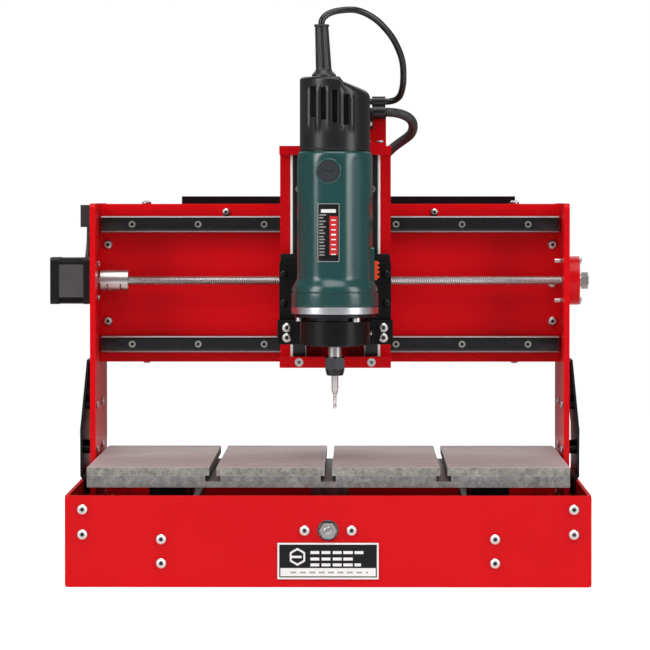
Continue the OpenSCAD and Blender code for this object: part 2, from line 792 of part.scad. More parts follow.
module z_back_plate() {
  color([0.85, 0.02, 0.07]) difference() {
    block([cx - carriage_w / 2, web_face, frame_bottom], [cx + carriage_w / 2, web_back, frame_top]);
    web_screw_places() flat_seat(m4, web_t + 1);
    for (p = end_plate_holes) translate([p[0], web_back, p[1]]) rotate([-90, 0, 0]) flat_seat(m4, web_t + 1);
    place_on_web((rail_low + rail_high) / 2)
      for (x = rail_holes(3)) translate([x, 0, -web_t - 1]) cylinder(d = m4 + 2 * fit, h = web_t + 2);
  }
}

module z_top_plate() {
  front = -29.5;
  color([0.85, 0.02, 0.07]) difference() {
    block([cx - carriage_w / 2, front, rail_high], [cx + carriage_w / 2, web_face, frame_top]);
    translate([cx, z_screw_y, frame_top]) rotate([180, 0, 0]) stepper_holes(top_plate_t, [[1, 1], [-1, 1]]);
    for (p = end_plate_holes) translate([p[0], web_face + 1, p[1]])
      rotate([90, 0, 0]) cylinder(d = m4 + 2 * fit, h = 12);
    for (p = post_holes) translate([p[0], p[1], rail_high - 1]) cylinder(d = m4 + 2 * fit, h = 12);
  }
}

module z_bottom_plate() {
  front = head_back + 1;
  color([0.85, 0.02, 0.07]) difference() {
    block([cx - carriage_w / 2, front, frame_bottom], [cx + carriage_w / 2, web_face, rail_low]);
    translate([cx, z_screw_y, frame_bottom - 1]) cylinder(d = screw_d + 2 * running, h = 14);
    for (p = end_plate_holes) translate([p[0], web_face + 1, p[1]])
      rotate([90, 0, 0]) cylinder(d = m4 + 2 * fit, h = 12);
    from_front(stop_holes, front) flat_seat(m4, 13);
  }
}

module z_rails() {
  color([0.55, 0.55, 0.57]) place_on_web((rail_low + rail_high) / 2) rail(rail_high - rail_low, 3);
}

module z_motor() {
  color([0.1, 0.1, 0.11]) translate([cx, z_screw_y, frame_top]) rotate([180, 0, 0]) stepper();
}

// Bracket behind the back plate with the flanged brass nut in it
module x_drive_nut() {
  half = 17;
  color([0.7, 0.62, 0.4]) {
    difference() {
      block([cx - half, web_back, x_screw_z - 16], [cx + half, beam_face - 2, x_screw_z + 16]);
      translate([cx - half - 1, x_screw_y, x_screw_z]) x_rod(10.4, 2 * half + 2);
      for (p = x_nut_holes) translate([p[0], web_back - 1, p[1]]) y_rod(m4 + 2 * fit, 10);
    }
    translate([cx + half + 3.5, x_screw_y, x_screw_z]) rotate([0, -90, 0]) brass_nut(2 * half + 3.5);
  }
}

// Folded sheet post that carries the cables above the carriage
post_w = [cx + 22.6, cx + 45.7];
post_top = 405;
module cable_post() {
  skin = 3;
  color([0.85, 0.02, 0.07]) difference() {
    union() {
      block([post_w[0], web_face - skin, frame_top], [post_w[1], web_face, post_top]);
      block([post_w[0], -14, frame_top], [post_w[1], web_face, frame_top + skin]);
    }
    for (p = post_holes) translate([p[0], p[1], frame_top - 1]) cylinder(d = m4 + 2 * fit, h = skin + 2);
    translate([cx + 30, web_face - skin - 1, 398]) y_rod(m4 + 2 * fit, skin + 2);
  }
}

// Clip with one hole for the conduit and one for the cord
conduit_at = [cx + 39, -6, 408];
cord_at = [cx + 39, -6, 417.5];
module cable_clip() {
  clip_l = 12;
  color([0.04, 0.04, 0.045]) difference() {
    union() {
      translate(conduit_at - [clip_l / 2, 0, 0]) x_rod(13, clip_l);
      translate(cord_at - [clip_l / 2, 0, 0]) x_rod(9.5, clip_l);
      block([cx + 33, -6, 402], [cx + 45, web_face - 3, 414]);
      block([cx + 24, 0.5, 393], [cx + 34, web_face - 3, 404]);
    }
    translate(conduit_at - [clip_l, 0, 0]) x_rod(9.2, 2 * clip_l);
    translate(cord_at - [clip_l, 0, 0]) x_rod(6.2, 2 * clip_l);
    translate([cx + 30, 0, 398]) y_rod(m4 + 2 * fit, 4);
  }
}

// Flexible conduit from the clip, out to the right and back down to the control box gland
conduit_end = [gland_x, beam_back + 20, box_high[2] + 3];
module conduit() {
  mid = [cx + 69.5, 45, 391];
  out = conduit_at + [7, 0, 0];
  steps = 12;
  color([0.07, 0.07, 0.075]) swept_tube(concat(
    [conduit_at - [5, 0, 0]],
    [for (i = [0:steps]) bezier(out, out + [17, 0, 0], mid + [4.5, -25, 11], mid, i / steps)],
    [for (i = [1:steps])
      bezier(mid, mid + [-3.5, 21, -9], conduit_end + [0, 0, 42], conduit_end, i / steps)]),
    4.3, 16);
}

module carriage_bolts() {
  color([0.75, 0.75, 0.77]) {
    web_screw_places() flat_screw(m4, web_t + 5);
    from_back(end_plate_holes, web_back) flat_screw(m4, web_t + 8);
    from_front(stop_holes, head_back + 1) flat_screw(m4, 12);
    place_on_web((rail_low + rail_high) / 2) rail_screws(3, 14);
    for (p = post_holes) translate([p[0], p[1], frame_top + 3]) button_screw(m4, 10);
    translate([cx, z_screw_y, frame_top]) rotate([180, 0, 0])
      stepper_screws(top_plate_t, [[1, 1], [-1, 1]]);
    translate([cx + 30, 0.5, 398]) rotate([90, 0, 0]) button_screw(m4, 5.5);
  }
}

// ---- Lead screws ----

coupler_l = 25;
stub_d = 5;

module x_screw() {
  start = -column_x + 1.4 + coupler_l / 2;
  color([0.62, 0.62, 0.64]) translate([start, x_screw_y, x_screw_z])
    x_rod(screw_d, column_x + column_t + 20 - start);
}

module x_screw_fittings() {
  start = -column_x + 1.4;
  color([0.72, 0.72, 0.74]) {
    translate([start, x_screw_y, x_screw_z]) rotate([0, 90, 0]) coupler(coupler_l);
    translate([-column_x - column_t - 6, x_screw_y, x_screw_z])
      x_rod(stub_d, 6 + column_t + 1.4 + coupler_l / 2 - 0.5);
    translate([column_x + column_t + 11.1, x_screw_y, x_screw_z]) rotate([0, 90, 0]) lock_nut();
  }
}

module y_screw() {
  rear = inner_y - 3 - coupler_l / 2;
  front = -inner_y - 9.5;
  color([0.62, 0.62, 0.64]) translate([0, front, y_screw_z]) y_rod(screw_d, rear - front);
}

module y_screw_fittings() {
  rear = inner_y - 3;
  color([0.72, 0.72, 0.74]) {
    translate([0, rear, y_screw_z]) rotate([90, 0, 0]) coupler(coupler_l);
    translate([0, rear - coupler_l / 2 + 0.5, y_screw_z]) y_rod(stub_d, coupler_l / 2 + 3 + panel_t + 6);
    translate([0, -inner_y - 0.1, y_screw_z]) rotate([90, 0, 0]) lock_nut();
  }
}

// The Z screw is the motor's own shaft, turned down where it enters the motor
module z_screw() {
  low = frame_bottom + 2;
  high = frame_top - 3;
  color([0.62, 0.62, 0.64]) {
    translate([cx, z_screw_y, low]) cylinder(d = screw_d, h = high - low);
    translate([cx, z_screw_y, high]) cylinder(d = stub_d, h = 10);
  }
}

// ---- Head ----

block_z = 250;
plate_low = 200;
plate_high = 273.5;
clamp_holes = [for (x = [cx - 43, cx + 43], z = [clamp_z + 5, clamp_z + 13.8]) [x, z]];
z_nut_holes = [for (x = [cx - 8, cx + 8], z = [242, 258]) [x, z]];
brush_z = 354.5;
brush_d = 18.5;
brush_angle = 9.6;
flange_screw_r = 31.5;
flange_screw_angles = [-53, 67, 187];

// Slide switch: low end at rest, face of its track measured from the tool axis
switch_z = 258.5;
switch_face = 34.8;

// Moves a child from the tool axis at height z
module on_axis(z) {
  translate([cx, axis_y, z]) children();
}

module z_blocks() {
  color([0.12, 0.12, 0.13]) place_on_web(block_z) guide_block();
}

module z_plate() {
  color([0.04, 0.04, 0.045]) difference() {
    block([cx - carriage_w / 2, head_face, plate_low], [cx + carriage_w / 2, head_back, plate_high]);
    place_on_web(block_z) block_holes(head_plate_t);
    from_front(z_nut_holes, head_face) flat_seat(m4, head_plate_t + 1);
    for (p = clamp_holes) translate([p[0], head_face - 1, p[1]]) y_rod(m5 + 2 * fit, head_plate_t + 2);
  }
}

// Bracket behind the head plate with the flanged brass nut in it
module z_drive_nut() {
  low = 235;
  high = 265;
  color([0.7, 0.62, 0.4]) {
    difference() {
      block([cx - 14, head_back, low], [cx + 14, 2, high]);
      translate([cx, z_screw_y, low - 1]) cylinder(d = 10.4, h = high - low + 2);
      for (p = z_nut_holes) translate([p[0], head_back - 1, p[1]]) y_rod(m4 + 2 * fit, 7.5);
    }
    translate([cx, z_screw_y, high + 3.5]) mirror([0, 0, 1]) brass_nut(high - low + 3.5);
  }
}

module spindle_clamp() {
  grub_z = clamp_z + clamp_h / 2;
  color([0.045, 0.045, 0.05]) difference() {
    union() {
      block([cx - 51.5, flange_face, clamp_z], [cx + 51.5, head_face, clamp_z + clamp_h]);
      block([cx - 34, axis_y + 8, clamp_z], [cx + 34, flange_face + 1, clamp_z + clamp_h]);
      on_axis(clamp_z) cylinder(d = clamp_d, h = clamp_h);
    }
    on_axis(clamp_z - 1) cylinder(d = neck_d + 2 * fit, h = clamp_h + 2);
    translate([cx + 15, axis_y + 15, clamp_z - 1]) cube([30, 1.5, clamp_h + 2]);
    for (p = clamp_holes) translate([p[0], flange_face - 1, p[1]]) y_rod(m5 + 2 * fit, flange_t + 2);
    translate([cx + 18, axis_y + 4, grub_z]) x_rod(m5 + 2 * fit, 20);
  }
}

// Gear case end: bright ring, dark face and the neck that the clamp grips
module bearing_flange() {
  color([0.75, 0.76, 0.78]) difference() {
    union() {
      on_axis(ring_z) cylinder(d = ring_d, h = 6);
      on_axis(ring_z - 3) cylinder(d = ring_d - 5, h = 3);
      on_axis(clamp_z + clamp_h + 0.4) cylinder(d = 52, h = 5);
      on_axis(clamp_z - 1.5) cylinder(d = neck_d, h = 30);
    }
    on_axis(clamp_z - 3) cylinder(d = 12 + 2 * running, h = 40);
    on_axis(clamp_z + 10) cylinder(d = 20, h = 40);
    for (a = flange_screw_angles) on_axis(ring_z - 4) rotate([0, 0, a]) translate([flange_screw_r, 0, 0])
      cylinder(d = m4 + 2 * fit, h = 12);
  }
}

module head_bolts() {
  color([0.7, 0.7, 0.72]) {
    from_front(clamp_holes, flange_face) button_screw(m5, 18);
    place_on_web(block_z) block_screws(head_plate_t);
    from_front(z_nut_holes, head_face) flat_screw(m4, 15);
    for (a = flange_screw_angles) on_axis(ring_z - 3) rotate([0, 0, a]) translate([flange_screw_r, 0, 0])
      mirror([0, 0, 1]) cap_screw(m4, 12.5);
    translate([cx + 21.7, axis_y + 4, clamp_z + clamp_h / 2]) x_rod(m5, 11);
  }
}

// Brush holders sit on opposite sides of the motor housing
module place_brushes() {
  for (a = [0, 180]) on_axis(brush_z) rotate([0, 0, a - brush_angle]) rotate([90, 0, 0]) children();
}

// Motor housing: straight tube above, flared shoulder and thick ring below, switch track on the right
module motor_housing() {
  bore_r = 27;
  lip_r = 38;
  body_r = body_d / 2;
  steps = 8;
  shoulder = [for (i = [0:steps]) [
    body_r + (lip_r - body_r) * (1 + cos(180 * i / steps)) / 2,
    shoulder_low + (shoulder_high - shoulder_low) * i / steps]];
  top = [for (i = [0:steps]) [
    body_r - top_round + top_round * cos(90 * i / steps),
    cap_z - 4 * top_round + 4 * top_round * sin(90 * i / steps)]];
  color([0.02, 0.2, 0.19]) difference() {
    union() {
      on_axis(0) rotate_extrude() polygon(concat(
        [[bore_r, ring_z + 6], [ring_d / 2, ring_z + 6], [ring_d / 2, shoulder_low - 2]], shoulder, top,
        [[bore_r, cap_z]]));
      on_axis(switch_z - 5) block([bore_r + 3, -9, 0], [switch_face, 9, 34]);
    }
    place_brushes() cylinder(d = brush_d + 2 * fit, h = body_d);
    on_axis(switch_z + 2.5) block([bore_r - 3, -2.8, 0], [body_d, 2.8, 19]);
    for (a = flange_screw_angles) on_axis(ring_z + 5) rotate([0, 0, a]) translate([flange_screw_r, 0, 0])
      cylinder(d = m4 + 2 * fit, h = 6);
  }
}

module rear_cap() {
  slot_w = 3.8;
  slots = [[-19.5, 402, 429], [-10, 399.5, 428], [0, 397, 426], [10, 395, 422]];
  skin = 3.5;
  boot_rel = boot_x - cx;
  boss_low = 390.5;
  room_top = 410.5;
  top_slope = 12;
  color([0.1, 0.1, 0.11]) difference() {
    union() {
      difference() {
        on_axis(cap_z) cylinder(d = cap_d, h = cap_top - cap_z + 3.5);
        on_axis(cap_top + 1) rotate([0, top_slope, 0]) block([-60, -60, -5.3], [60, 60, 40]);
      }
      on_axis(cap_top - 14) translate([boot_rel, 0, 0]) cylinder(d = 24, h = 14);
    }
    difference() {
      on_axis(cap_z - 1) cylinder(d = cap_d - 2 * skin, h = room_top - cap_z + 1);
      on_axis(boss_low) cylinder(d = 18, h = room_top - boss_low + 1);
    }
    on_axis(cap_z) cylinder(d = 8 + 2 * running, h = 32);
    for (s = slots, side = [0, 180]) on_axis(0) rotate([0, 0, side])
      block([s[0] - slot_w / 2, -40, s[1]], [s[0] + slot_w / 2, -19, s[2]]);
  }
}

module brush_caps() {
  color([0.14, 0.14, 0.15]) place_brushes() {
    difference() {
      translate([0, 0, 27.5]) cylinder(d = brush_d, h = 6.2);
      translate([-4.5, -0.9, 32.7]) cube([9, 1.8, 3]);
    }
    block([-3, -4, 12.5], [3, 4, 28]);
  }
}

module stator() {
  color([0.45, 0.25, 0.12]) on_axis(285) difference() {
    cylinder(d = 53.6, h = 55);
    translate([0, 0, -1]) cylinder(d = 34, h = 57);
  }
}

// Rubber boot where the cord leaves the cap
module cord_boot() {
  color([0.09, 0.09, 0.1]) translate([boot_x, axis_y, cap_top]) difference() {
    union() {
      cylinder(d = 21.5, h = 4);
      translate([0, 0, 4]) cylinder(d1 = 21.5, d2 = 15, h = 3);
      rotate([0, -boot_tilt, 0]) {
        translate([0, 0, 2]) cylinder(d1 = 13.5, d2 = 11, h = boot_l - 2);
        translate([0, 0, boot_l - 2]) cylinder(d = 13.4, h = 2);
      }
    }
    rotate([0, -boot_tilt, 0]) translate([0, 0, boot_l - 14]) cylinder(d = 6.2, h = 16);
  }
}

// Flexible cord: up out of the boot, over the top and down to the clip
module spindle_cord() {
  root = [boot_x - boot_l * sin(boot_tilt), axis_y, cap_top + boot_l * cos(boot_tilt)];
  lean = [-sin(boot_tilt), 0, cos(boot_tilt)];
  top = [cx + 15.7, -62, 497.3];
  far = [cx + 60.9, -30, 442.8];
  finish = cord_at + [7, 0, 0];
  steps = 12;
  color([0.04, 0.04, 0.045]) swept_tube(concat(
    [root - 11 * lean],
    [for (i = [0:steps]) bezier(root + lean, root + 9 * lean, top - [15, 3, -0.5], top, i / steps)],
    [for (i = [1:steps]) bezier(top, top + [20, 5, -0.7], far + [0, -13, 27], far, i / steps)],
    [for (i = [1:steps]) bezier(far, far + [0, 10, -16], finish + [14, 0, 0], finish, i / steps)],
    [cord_at - [5, 0, 0]]), 2.9, 14);
}

// ---- Spindle and switch ----

nut_low = 174;
nut_high = 190.5;

// Armature on its shaft; the lower end is the collet seat
module spindle_shaft() {
  color([0.66, 0.66, 0.68]) difference() {
    union() {
      on_axis(nut_low + 6) cylinder(d = 12, h = 106);
      on_axis(nut_low + 111) cylinder(d = 8, h = 118);
      on_axis(287) cylinder(d = 32, h = 51);
      on_axis(347) cylinder(d = 23, h = 16);
    }
    on_axis(nut_low) cylinder(d = 6 + 2 * fit, h = 30);
  }
}

// Hexagon collet nut with a tapered nose, and the milling bit that it grips
module collet_and_bit() {
  bit_d = 6;
  flute_d = 3.2;
  color([0.25, 0.25, 0.26]) difference() {
    union() {
      on_axis(nut_low + 4) cylinder(d = 19.4, h = nut_high - nut_low - 4, $fn = 6);
      on_axis(nut_low) cylinder(d1 = 15, d2 = 16.6, h = 4);
    }
    on_axis(nut_low + 5.9) cylinder(d = 12 + 2 * fit, h = 20);
    on_axis(nut_low - 1) cylinder(d = bit_d + 2 * fit, h = 20);
  }
  color([0.8, 0.8, 0.82]) {
    on_axis(161.5) cylinder(d = bit_d, h = 38);
    on_axis(156) cylinder(d1 = flute_d, d2 = bit_d, h = 5.5);
    on_axis(tip_z) cylinder(d = flute_d, h = 11);
  }
}

// Sliding power switch on the right of the motor housing
module power_slide() {
  color([0.85, 0.2, 0.05]) on_axis(switch_z) {
    block([switch_face + 0.1, -7, 0], [switch_face + 2.6, 7, 17]);
    for (i = [0:3]) block([switch_face + 2.5, -6, 2 + 4 * i], [switch_face + 4.4, 6, 4 + 4 * i]);
    block([25, -2.5, 3], [switch_face + 1, 2.5, 13]);
    block([23.5, -5, 2], [26, 5, 15]);
  }
}

front_panel();
rear_panel();
left_side_wall();
right_side_wall();
base_tray();
rail_beams();
y_rails();
y_motor();
y_front_bearing();
left_column();
right_column();
column_covers();
gantry_beam();
beam_back_plate();
x_rails();
x_motor();
x_end_bearing();
control_box();
control_box_lid();
control_board();
cable_entry();
frame_bolts();
rail_bolts();
name_plate();
table_bed();
table_plates();
y_blocks();
y_drive_nut();
table_screws();
x_blocks();
z_back_plate();
z_top_plate();
z_bottom_plate();
z_rails();
z_motor();
x_drive_nut();
cable_post();
cable_clip();
conduit();
carriage_bolts();
x_screw();
x_screw_fittings();
y_screw();
y_screw_fittings();
z_screw();
z_blocks();
z_plate();
z_drive_nut();
spindle_clamp();
head_bolts();
motor_housing();
rear_cap();
bearing_flange();
brush_caps();
stator();
cord_boot();
spindle_cord();
spindle_shaft();
collet_and_bit();
power_slide();
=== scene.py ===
import math

import bmesh
import bpy
from mathutils import Matrix, Vector


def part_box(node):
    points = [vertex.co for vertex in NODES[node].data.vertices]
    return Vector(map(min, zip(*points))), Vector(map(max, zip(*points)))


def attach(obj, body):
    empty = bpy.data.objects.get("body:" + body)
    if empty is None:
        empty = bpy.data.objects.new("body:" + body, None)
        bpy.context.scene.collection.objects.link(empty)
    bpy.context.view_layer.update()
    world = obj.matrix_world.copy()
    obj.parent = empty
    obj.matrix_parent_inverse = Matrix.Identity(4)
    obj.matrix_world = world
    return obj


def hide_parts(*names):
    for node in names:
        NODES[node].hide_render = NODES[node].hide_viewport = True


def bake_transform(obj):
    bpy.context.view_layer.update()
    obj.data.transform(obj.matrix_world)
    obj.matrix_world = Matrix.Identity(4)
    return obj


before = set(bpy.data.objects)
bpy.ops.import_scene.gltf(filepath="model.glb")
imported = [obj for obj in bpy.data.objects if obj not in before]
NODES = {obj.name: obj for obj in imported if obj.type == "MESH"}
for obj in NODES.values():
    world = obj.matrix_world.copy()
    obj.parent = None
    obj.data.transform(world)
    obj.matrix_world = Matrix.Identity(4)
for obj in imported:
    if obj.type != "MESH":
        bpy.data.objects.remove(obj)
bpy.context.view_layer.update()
MM = 0.001


# ---- Node material helpers ----

class Net:
    """A node tree being built: each method adds one node and returns its output."""

    def __init__(self, name):
        self.mat = bpy.data.materials.new(name)
        self.mat.use_nodes = True
        self.tree = self.mat.node_tree
        self.tree.nodes.clear()
        self.out = self.tree.nodes.new("ShaderNodeOutputMaterial")
        self.bsdf = self.tree.nodes.new("ShaderNodeBsdfPrincipled")
        self.tree.links.new(self.bsdf.outputs[0], self.out.inputs[0])
        self.coord = self.add("ShaderNodeTexCoord").outputs["Object"]

    def add(self, kind, **props):
        node = self.tree.nodes.new(kind)
        for key, value in props.items():
            setattr(node, key, value)
        return node

    def put(self, socket, value):
        if isinstance(value, bpy.types.NodeSocket):
            self.tree.links.new(value, socket)
        elif socket.type == "RGBA" and len(value) == 3:
            socket.default_value = (*value, 1.0)
        else:
            socket.default_value = value

    def set(self, **values):
        for key, value in values.items():
            self.put(self.bsdf.inputs[key.replace("_", " ")], value)
        return self

    def scaled(self, scale, turn=(0, 0, 0)):
        node = self.add("ShaderNodeMapping")
        self.put(node.inputs["Vector"], self.coord)
        node.inputs["Scale"].default_value = scale
        node.inputs["Rotation"].default_value = turn
        return node.outputs[0]

    def noise(self, scale, detail=2.0, rough=0.5, stretch=None):
        node = self.add("ShaderNodeTexNoise")
        self.put(node.inputs["Vector"], self.scaled(stretch) if stretch else self.coord)
        node.inputs["Scale"].default_value = scale
        node.inputs["Detail"].default_value = detail
        node.inputs["Roughness"].default_value = rough
        return node.outputs[0]

    def cells(self, scale):
        node = self.add("ShaderNodeTexVoronoi")
        self.put(node.inputs["Vector"], self.coord)
        node.inputs["Scale"].default_value = scale
        return node.outputs[0]

    def waves(self, scale, axis):
        node = self.add("ShaderNodeTexWave", bands_direction=axis)
        self.put(node.inputs["Vector"], self.coord)
        node.inputs["Scale"].default_value = scale
        return node.outputs[1]

    def ramp(self, value, low, high, start=0.0, end=1.0):
        node = self.add("ShaderNodeMapRange")
        self.put(node.inputs["Value"], value)
        node.inputs["From Min"].default_value = start
        node.inputs["From Max"].default_value = end
        node.inputs["To Min"].default_value = low
        node.inputs["To Max"].default_value = high
        return node.outputs[0]

    def math(self, kind, a, b=0.0, clamp=False):
        node = self.add("ShaderNodeMath", operation=kind, use_clamp=clamp)
        self.put(node.inputs[0], a)
        self.put(node.inputs[1], b)
        return node.outputs[0]

    def mix(self, factor, a, b):
        node = self.add("ShaderNodeMix", data_type="RGBA")
        self.put(node.inputs["Factor"], factor)
        self.put(node.inputs["A"], a)
        self.put(node.inputs["B"], b)
        return node.outputs["Result"]

    def axis(self, name):
        node = self.add("ShaderNodeSeparateXYZ")
        self.put(node.inputs[0], self.coord)
        return node.outputs[name]

    def edges(self, radius=0.0006, gain=9.0):
        """1 on sharp outer edges, 0 on flats."""
        bevel = self.add("ShaderNodeBevel", samples=4)
        bevel.inputs["Radius"].default_value = radius
        geometry = self.add("ShaderNodeNewGeometry")
        dot = self.add("ShaderNodeVectorMath", operation="DOT_PRODUCT")
        self.put(dot.inputs[0], bevel.outputs[0])
        self.put(dot.inputs[1], geometry.outputs["Normal"])
        flat = self.math("SUBTRACT", 1.0, dot.outputs["Value"])
        return self.math("MULTIPLY", flat, gain, clamp=True)

    def bump(self, height, strength=0.2, distance=0.0002, base=None):
        node = self.add("ShaderNodeBump")
        node.inputs["Strength"].default_value = strength
        node.inputs["Distance"].default_value = distance
        self.put(node.inputs["Height"], height)
        if base is not None:
            self.put(node.inputs["Normal"], base)
        self.put(self.bsdf.inputs["Normal"], node.outputs[0])
        return node.outputs[0]


def shade(color, factor):
    return tuple(min(1.0, c * factor) for c in color)


def powder_coat(name, color, rough=0.3, coat=0.5, edge=1.5, spec=0.5):
    """Sprayed paint on sheet steel: soft clouds, orange peel, rubbed edges."""
    n = Net(name)
    clouds = n.noise(9, 3)
    specks = n.noise(420, 2, 0.7)
    base = n.mix(clouds, shade(color, 0.93), shade(color, 1.06))
    base = n.mix(n.ramp(specks, 0.0, 0.12, 0.55, 0.75), base, shade(color, 0.62))
    base = n.mix(n.math("MULTIPLY", n.edges(), 0.3), base, shade(color, edge) if max(color) > 0.1
                 else (0.09, 0.09, 0.095))
    n.set(Base_Color=base, Roughness=n.ramp(n.noise(60, 4), rough - 0.04, rough + 0.06),
          Coat_Weight=coat, Coat_Roughness=0.06, Specular_IOR_Level=spec)
    peel = n.bump(n.noise(650, 2), 0.05, 0.00008)
    n.bump(n.noise(34, 3), 0.03, 0.0004, peel)
    return n.mat


def brushed(name, color, rough, along, highlight_band=None):
    """Metal with fine lines that run along one axis: 0 x, 1 y, 2 z; the optional band (axis, middle,
    start) gets a painted pale highlight on its outer edges.
    """
    n = Net(name)
    metal, fine = 1.0, 1500
    stretch = [1.0, 1.0, 1.0]
    stretch[along] = 0.012
    lines = n.noise(fine, 3, 0.65, tuple(stretch))
    wide = n.noise(fine * 0.16, 2, 0.5, tuple(stretch))
    stains = n.noise(26, 5, 0.62)
    base = n.mix(lines, shade(color, 0.78), shade(color, 1.14))
    base = n.mix(n.ramp(wide, 0.0, 0.4, 0.3, 0.75), base, shade(color, 1.12))
    base = n.mix(n.ramp(stains, 0.0, 0.16, 0.45, 0.75), base, shade(color, 0.6))
    base = n.mix(n.math("MULTIPLY", n.edges(), 0.45), base, shade(color, 1.5))
    # Painted highlight: beyond start from the middle, the edges turn pale and less metallic.
    if highlight_band:
        axis, centre, start = highlight_band
        off = n.math("ABSOLUTE", n.math("SUBTRACT", n.axis(axis), centre))
        pale = n.math("GREATER_THAN", off, start)
        base = n.mix(pale, base, n.mix(lines, (0.80, 0.77, 0.76), (0.95, 0.92, 0.91)))
        metal = n.math("SUBTRACT", metal, n.math("MULTIPLY", pale, 0.7))
    n.set(Base_Color=base, Metallic=metal,
          Roughness=n.math("ADD", n.ramp(lines, rough - 0.07, rough + 0.09),
                           n.ramp(stains, -0.02, 0.08)))
    n.bump(lines, 0.12, 0.00006)
    return n.mat


def turned(name, color, rough=0.3, metal=1.0, dirt=0.3, socket_shade=False):
    """Machined or plated small part: fine mottling, bright edges; the last flag paints shade into screw
    sockets and other hollows.
    """
    n = Net(name)
    fine = n.noise(900, 3, 0.6)
    cloud = n.noise(70, 3)
    base = n.mix(fine, shade(color, 0.85), shade(color, 1.1))
    base = n.mix(n.ramp(cloud, 0.0, dirt, 0.45, 0.8), base, shade(color, 0.45))
    base = n.mix(n.math("MULTIPLY", n.edges(0.0003), 0.5), base, shade(color, 1.5))
    if socket_shade:
        # Painted shade: hollows that ambient occlusion finds, such as screw sockets, go near black.
        open_sky = n.add("ShaderNodeAmbientOcclusion", samples=6)
        open_sky.inputs["Distance"].default_value = 0.003
        base = n.mix(n.ramp(open_sky.outputs["AO"], 0.0, 1.0, 0.55, 0.8), shade(color, 0.04), base)
    n.set(Base_Color=base, Metallic=metal, Roughness=n.ramp(fine, rough - 0.06, rough + 0.1))
    n.bump(fine, 0.08, 0.00005)
    return n.mat


def moulded(name, color, rough=0.4, grain=900.0, bump=0.25, coat=0.0, spec=0.5, wear=0.25):
    """Moulded plastic with a spark-eroded grain and lighter rubbed edges."""
    n = Net(name)
    fine = n.noise(grain, 4, 0.6)
    cloud = n.noise(22, 3)
    base = n.mix(cloud, shade(color, 0.85), shade(color, 1.15))
    lift = tuple(min(1.0, c * 1.6 + 0.03) for c in color)
    base = n.mix(n.math("MULTIPLY", n.edges(0.0008, 7.0), 0.35), base, lift)
    base = n.mix(n.ramp(n.noise(160, 5, 0.7), 0.0, wear, 0.6, 0.85), base, lift)
    n.set(Base_Color=base, Roughness=n.ramp(n.noise(260, 4), rough - 0.02, rough + 0.04),
          Coat_Weight=coat, Coat_Roughness=0.15, Specular_IOR_Level=spec)
    n.bump(fine, bump, 0.00007)
    return n.mat


# ---- Materials ----

RED = (0.60, 0.0015, 0.005)
BLACK = (0.005, 0.005, 0.0055)
# Painted highlight on the pale outer edges of the Z rails: axis, middle of the pair, start of the edge.
Z_EDGE_HIGHLIGHT = ("X", 0.005, 0.0382)


def laminated(name, along, window=None):
    """Stack of punched steel sheets: thin lines square to one axis, enamelled outside the window."""
    n = Net(name)
    lines = n.waves(380, "XYZ"[along])
    base = n.mix(lines, (0.07, 0.07, 0.072), (0.17, 0.17, 0.175))
    base = n.mix(n.ramp(n.noise(60, 4), 0.0, 0.4, 0.5, 0.8), base, (0.05, 0.05, 0.05))
    if window:
        axis, centre, half = window
        off = n.math("ABSOLUTE", n.math("SUBTRACT", n.axis(axis), centre))
        outside = n.math("GREATER_THAN", off, half)
        base = n.mix(outside, base, shade(BLACK, 1.6))
    n.set(Base_Color=base, Metallic=0.8, Roughness=n.ramp(n.noise(500, 2), 0.38, 0.55))
    n.bump(lines, 0.5, 0.0001)
    return n.mat


def mill_finish(name, color, rough):
    """Extruded or sawn aluminium with grey blotches."""
    n = Net(name)
    spots = n.noise(210, 6, 0.75)
    cloud = n.noise(45, 4, 0.6)
    base = n.mix(n.ramp(spots, 0.0, 1.0, 0.32, 0.68), shade(color, 0.45), shade(color, 1.35))
    base = n.mix(n.ramp(cloud, 0.0, 0.5, 0.45, 0.7), base, shade(color, 0.6))
    base = n.mix(n.math("MULTIPLY", n.edges(0.0006), 0.6), base, shade(color, 1.7))
    n.set(Base_Color=base, Metallic=0.85, Roughness=n.ramp(spots, rough - 0.08, rough + 0.16))
    n.bump(spots, 0.35, 0.00012)
    return n.mat


def table_face(name):
    """Milled aluminium: cutter passes across the table, stains and small dents."""
    n = Net(name)
    color = (0.70, 0.645, 0.63)
    passes = n.noise(900, 3, 0.6, (0.02, 1, 1))
    bands = n.noise(34, 2, 0.5, (0.05, 1, 1))
    stains = n.noise(30, 6, 0.65)
    dents = n.ramp(n.cells(260), 1.0, 0.0, 0.0, 0.16)
    base = n.mix(passes, shade(color, 0.82), shade(color, 1.12))
    base = n.mix(n.ramp(bands, 0.0, 0.45, 0.4, 0.7), base, shade(color, 0.7))
    base = n.mix(n.ramp(stains, 0.0, 0.35, 0.5, 0.78), base, (0.36, 0.30, 0.28))
    base = n.mix(n.math("MULTIPLY", n.edges(0.0006), 0.5), base, (0.86, 0.83, 0.8))
    n.set(Base_Color=base, Metallic=0.7,
          Roughness=n.math("ADD", n.ramp(passes, 0.36, 0.52), n.ramp(stains, -0.05, 0.1)))
    first = n.bump(passes, 0.2, 0.00006)
    n.bump(n.math("MULTIPLY", dents, n.noise(60)), 0.25, 0.0001, first)
    return n.mat


def rubber(name, color, rough):
    """Soft sheath: dust in patches and a fine matt grain."""
    n = Net(name)
    fine = n.noise(1300, 3, 0.6)
    dust = n.ramp(n.noise(90, 5, 0.7), 0.0, 0.3, 0.55, 0.85)
    base = n.mix(dust, color, tuple(c + 0.03 for c in color))
    n.set(Base_Color=base, Roughness=n.ramp(n.noise(140, 3), rough - 0.1, rough + 0.08),
          Sheen_Weight=0.05)
    n.bump(fine, 0.2, 0.00006)
    return n.mat


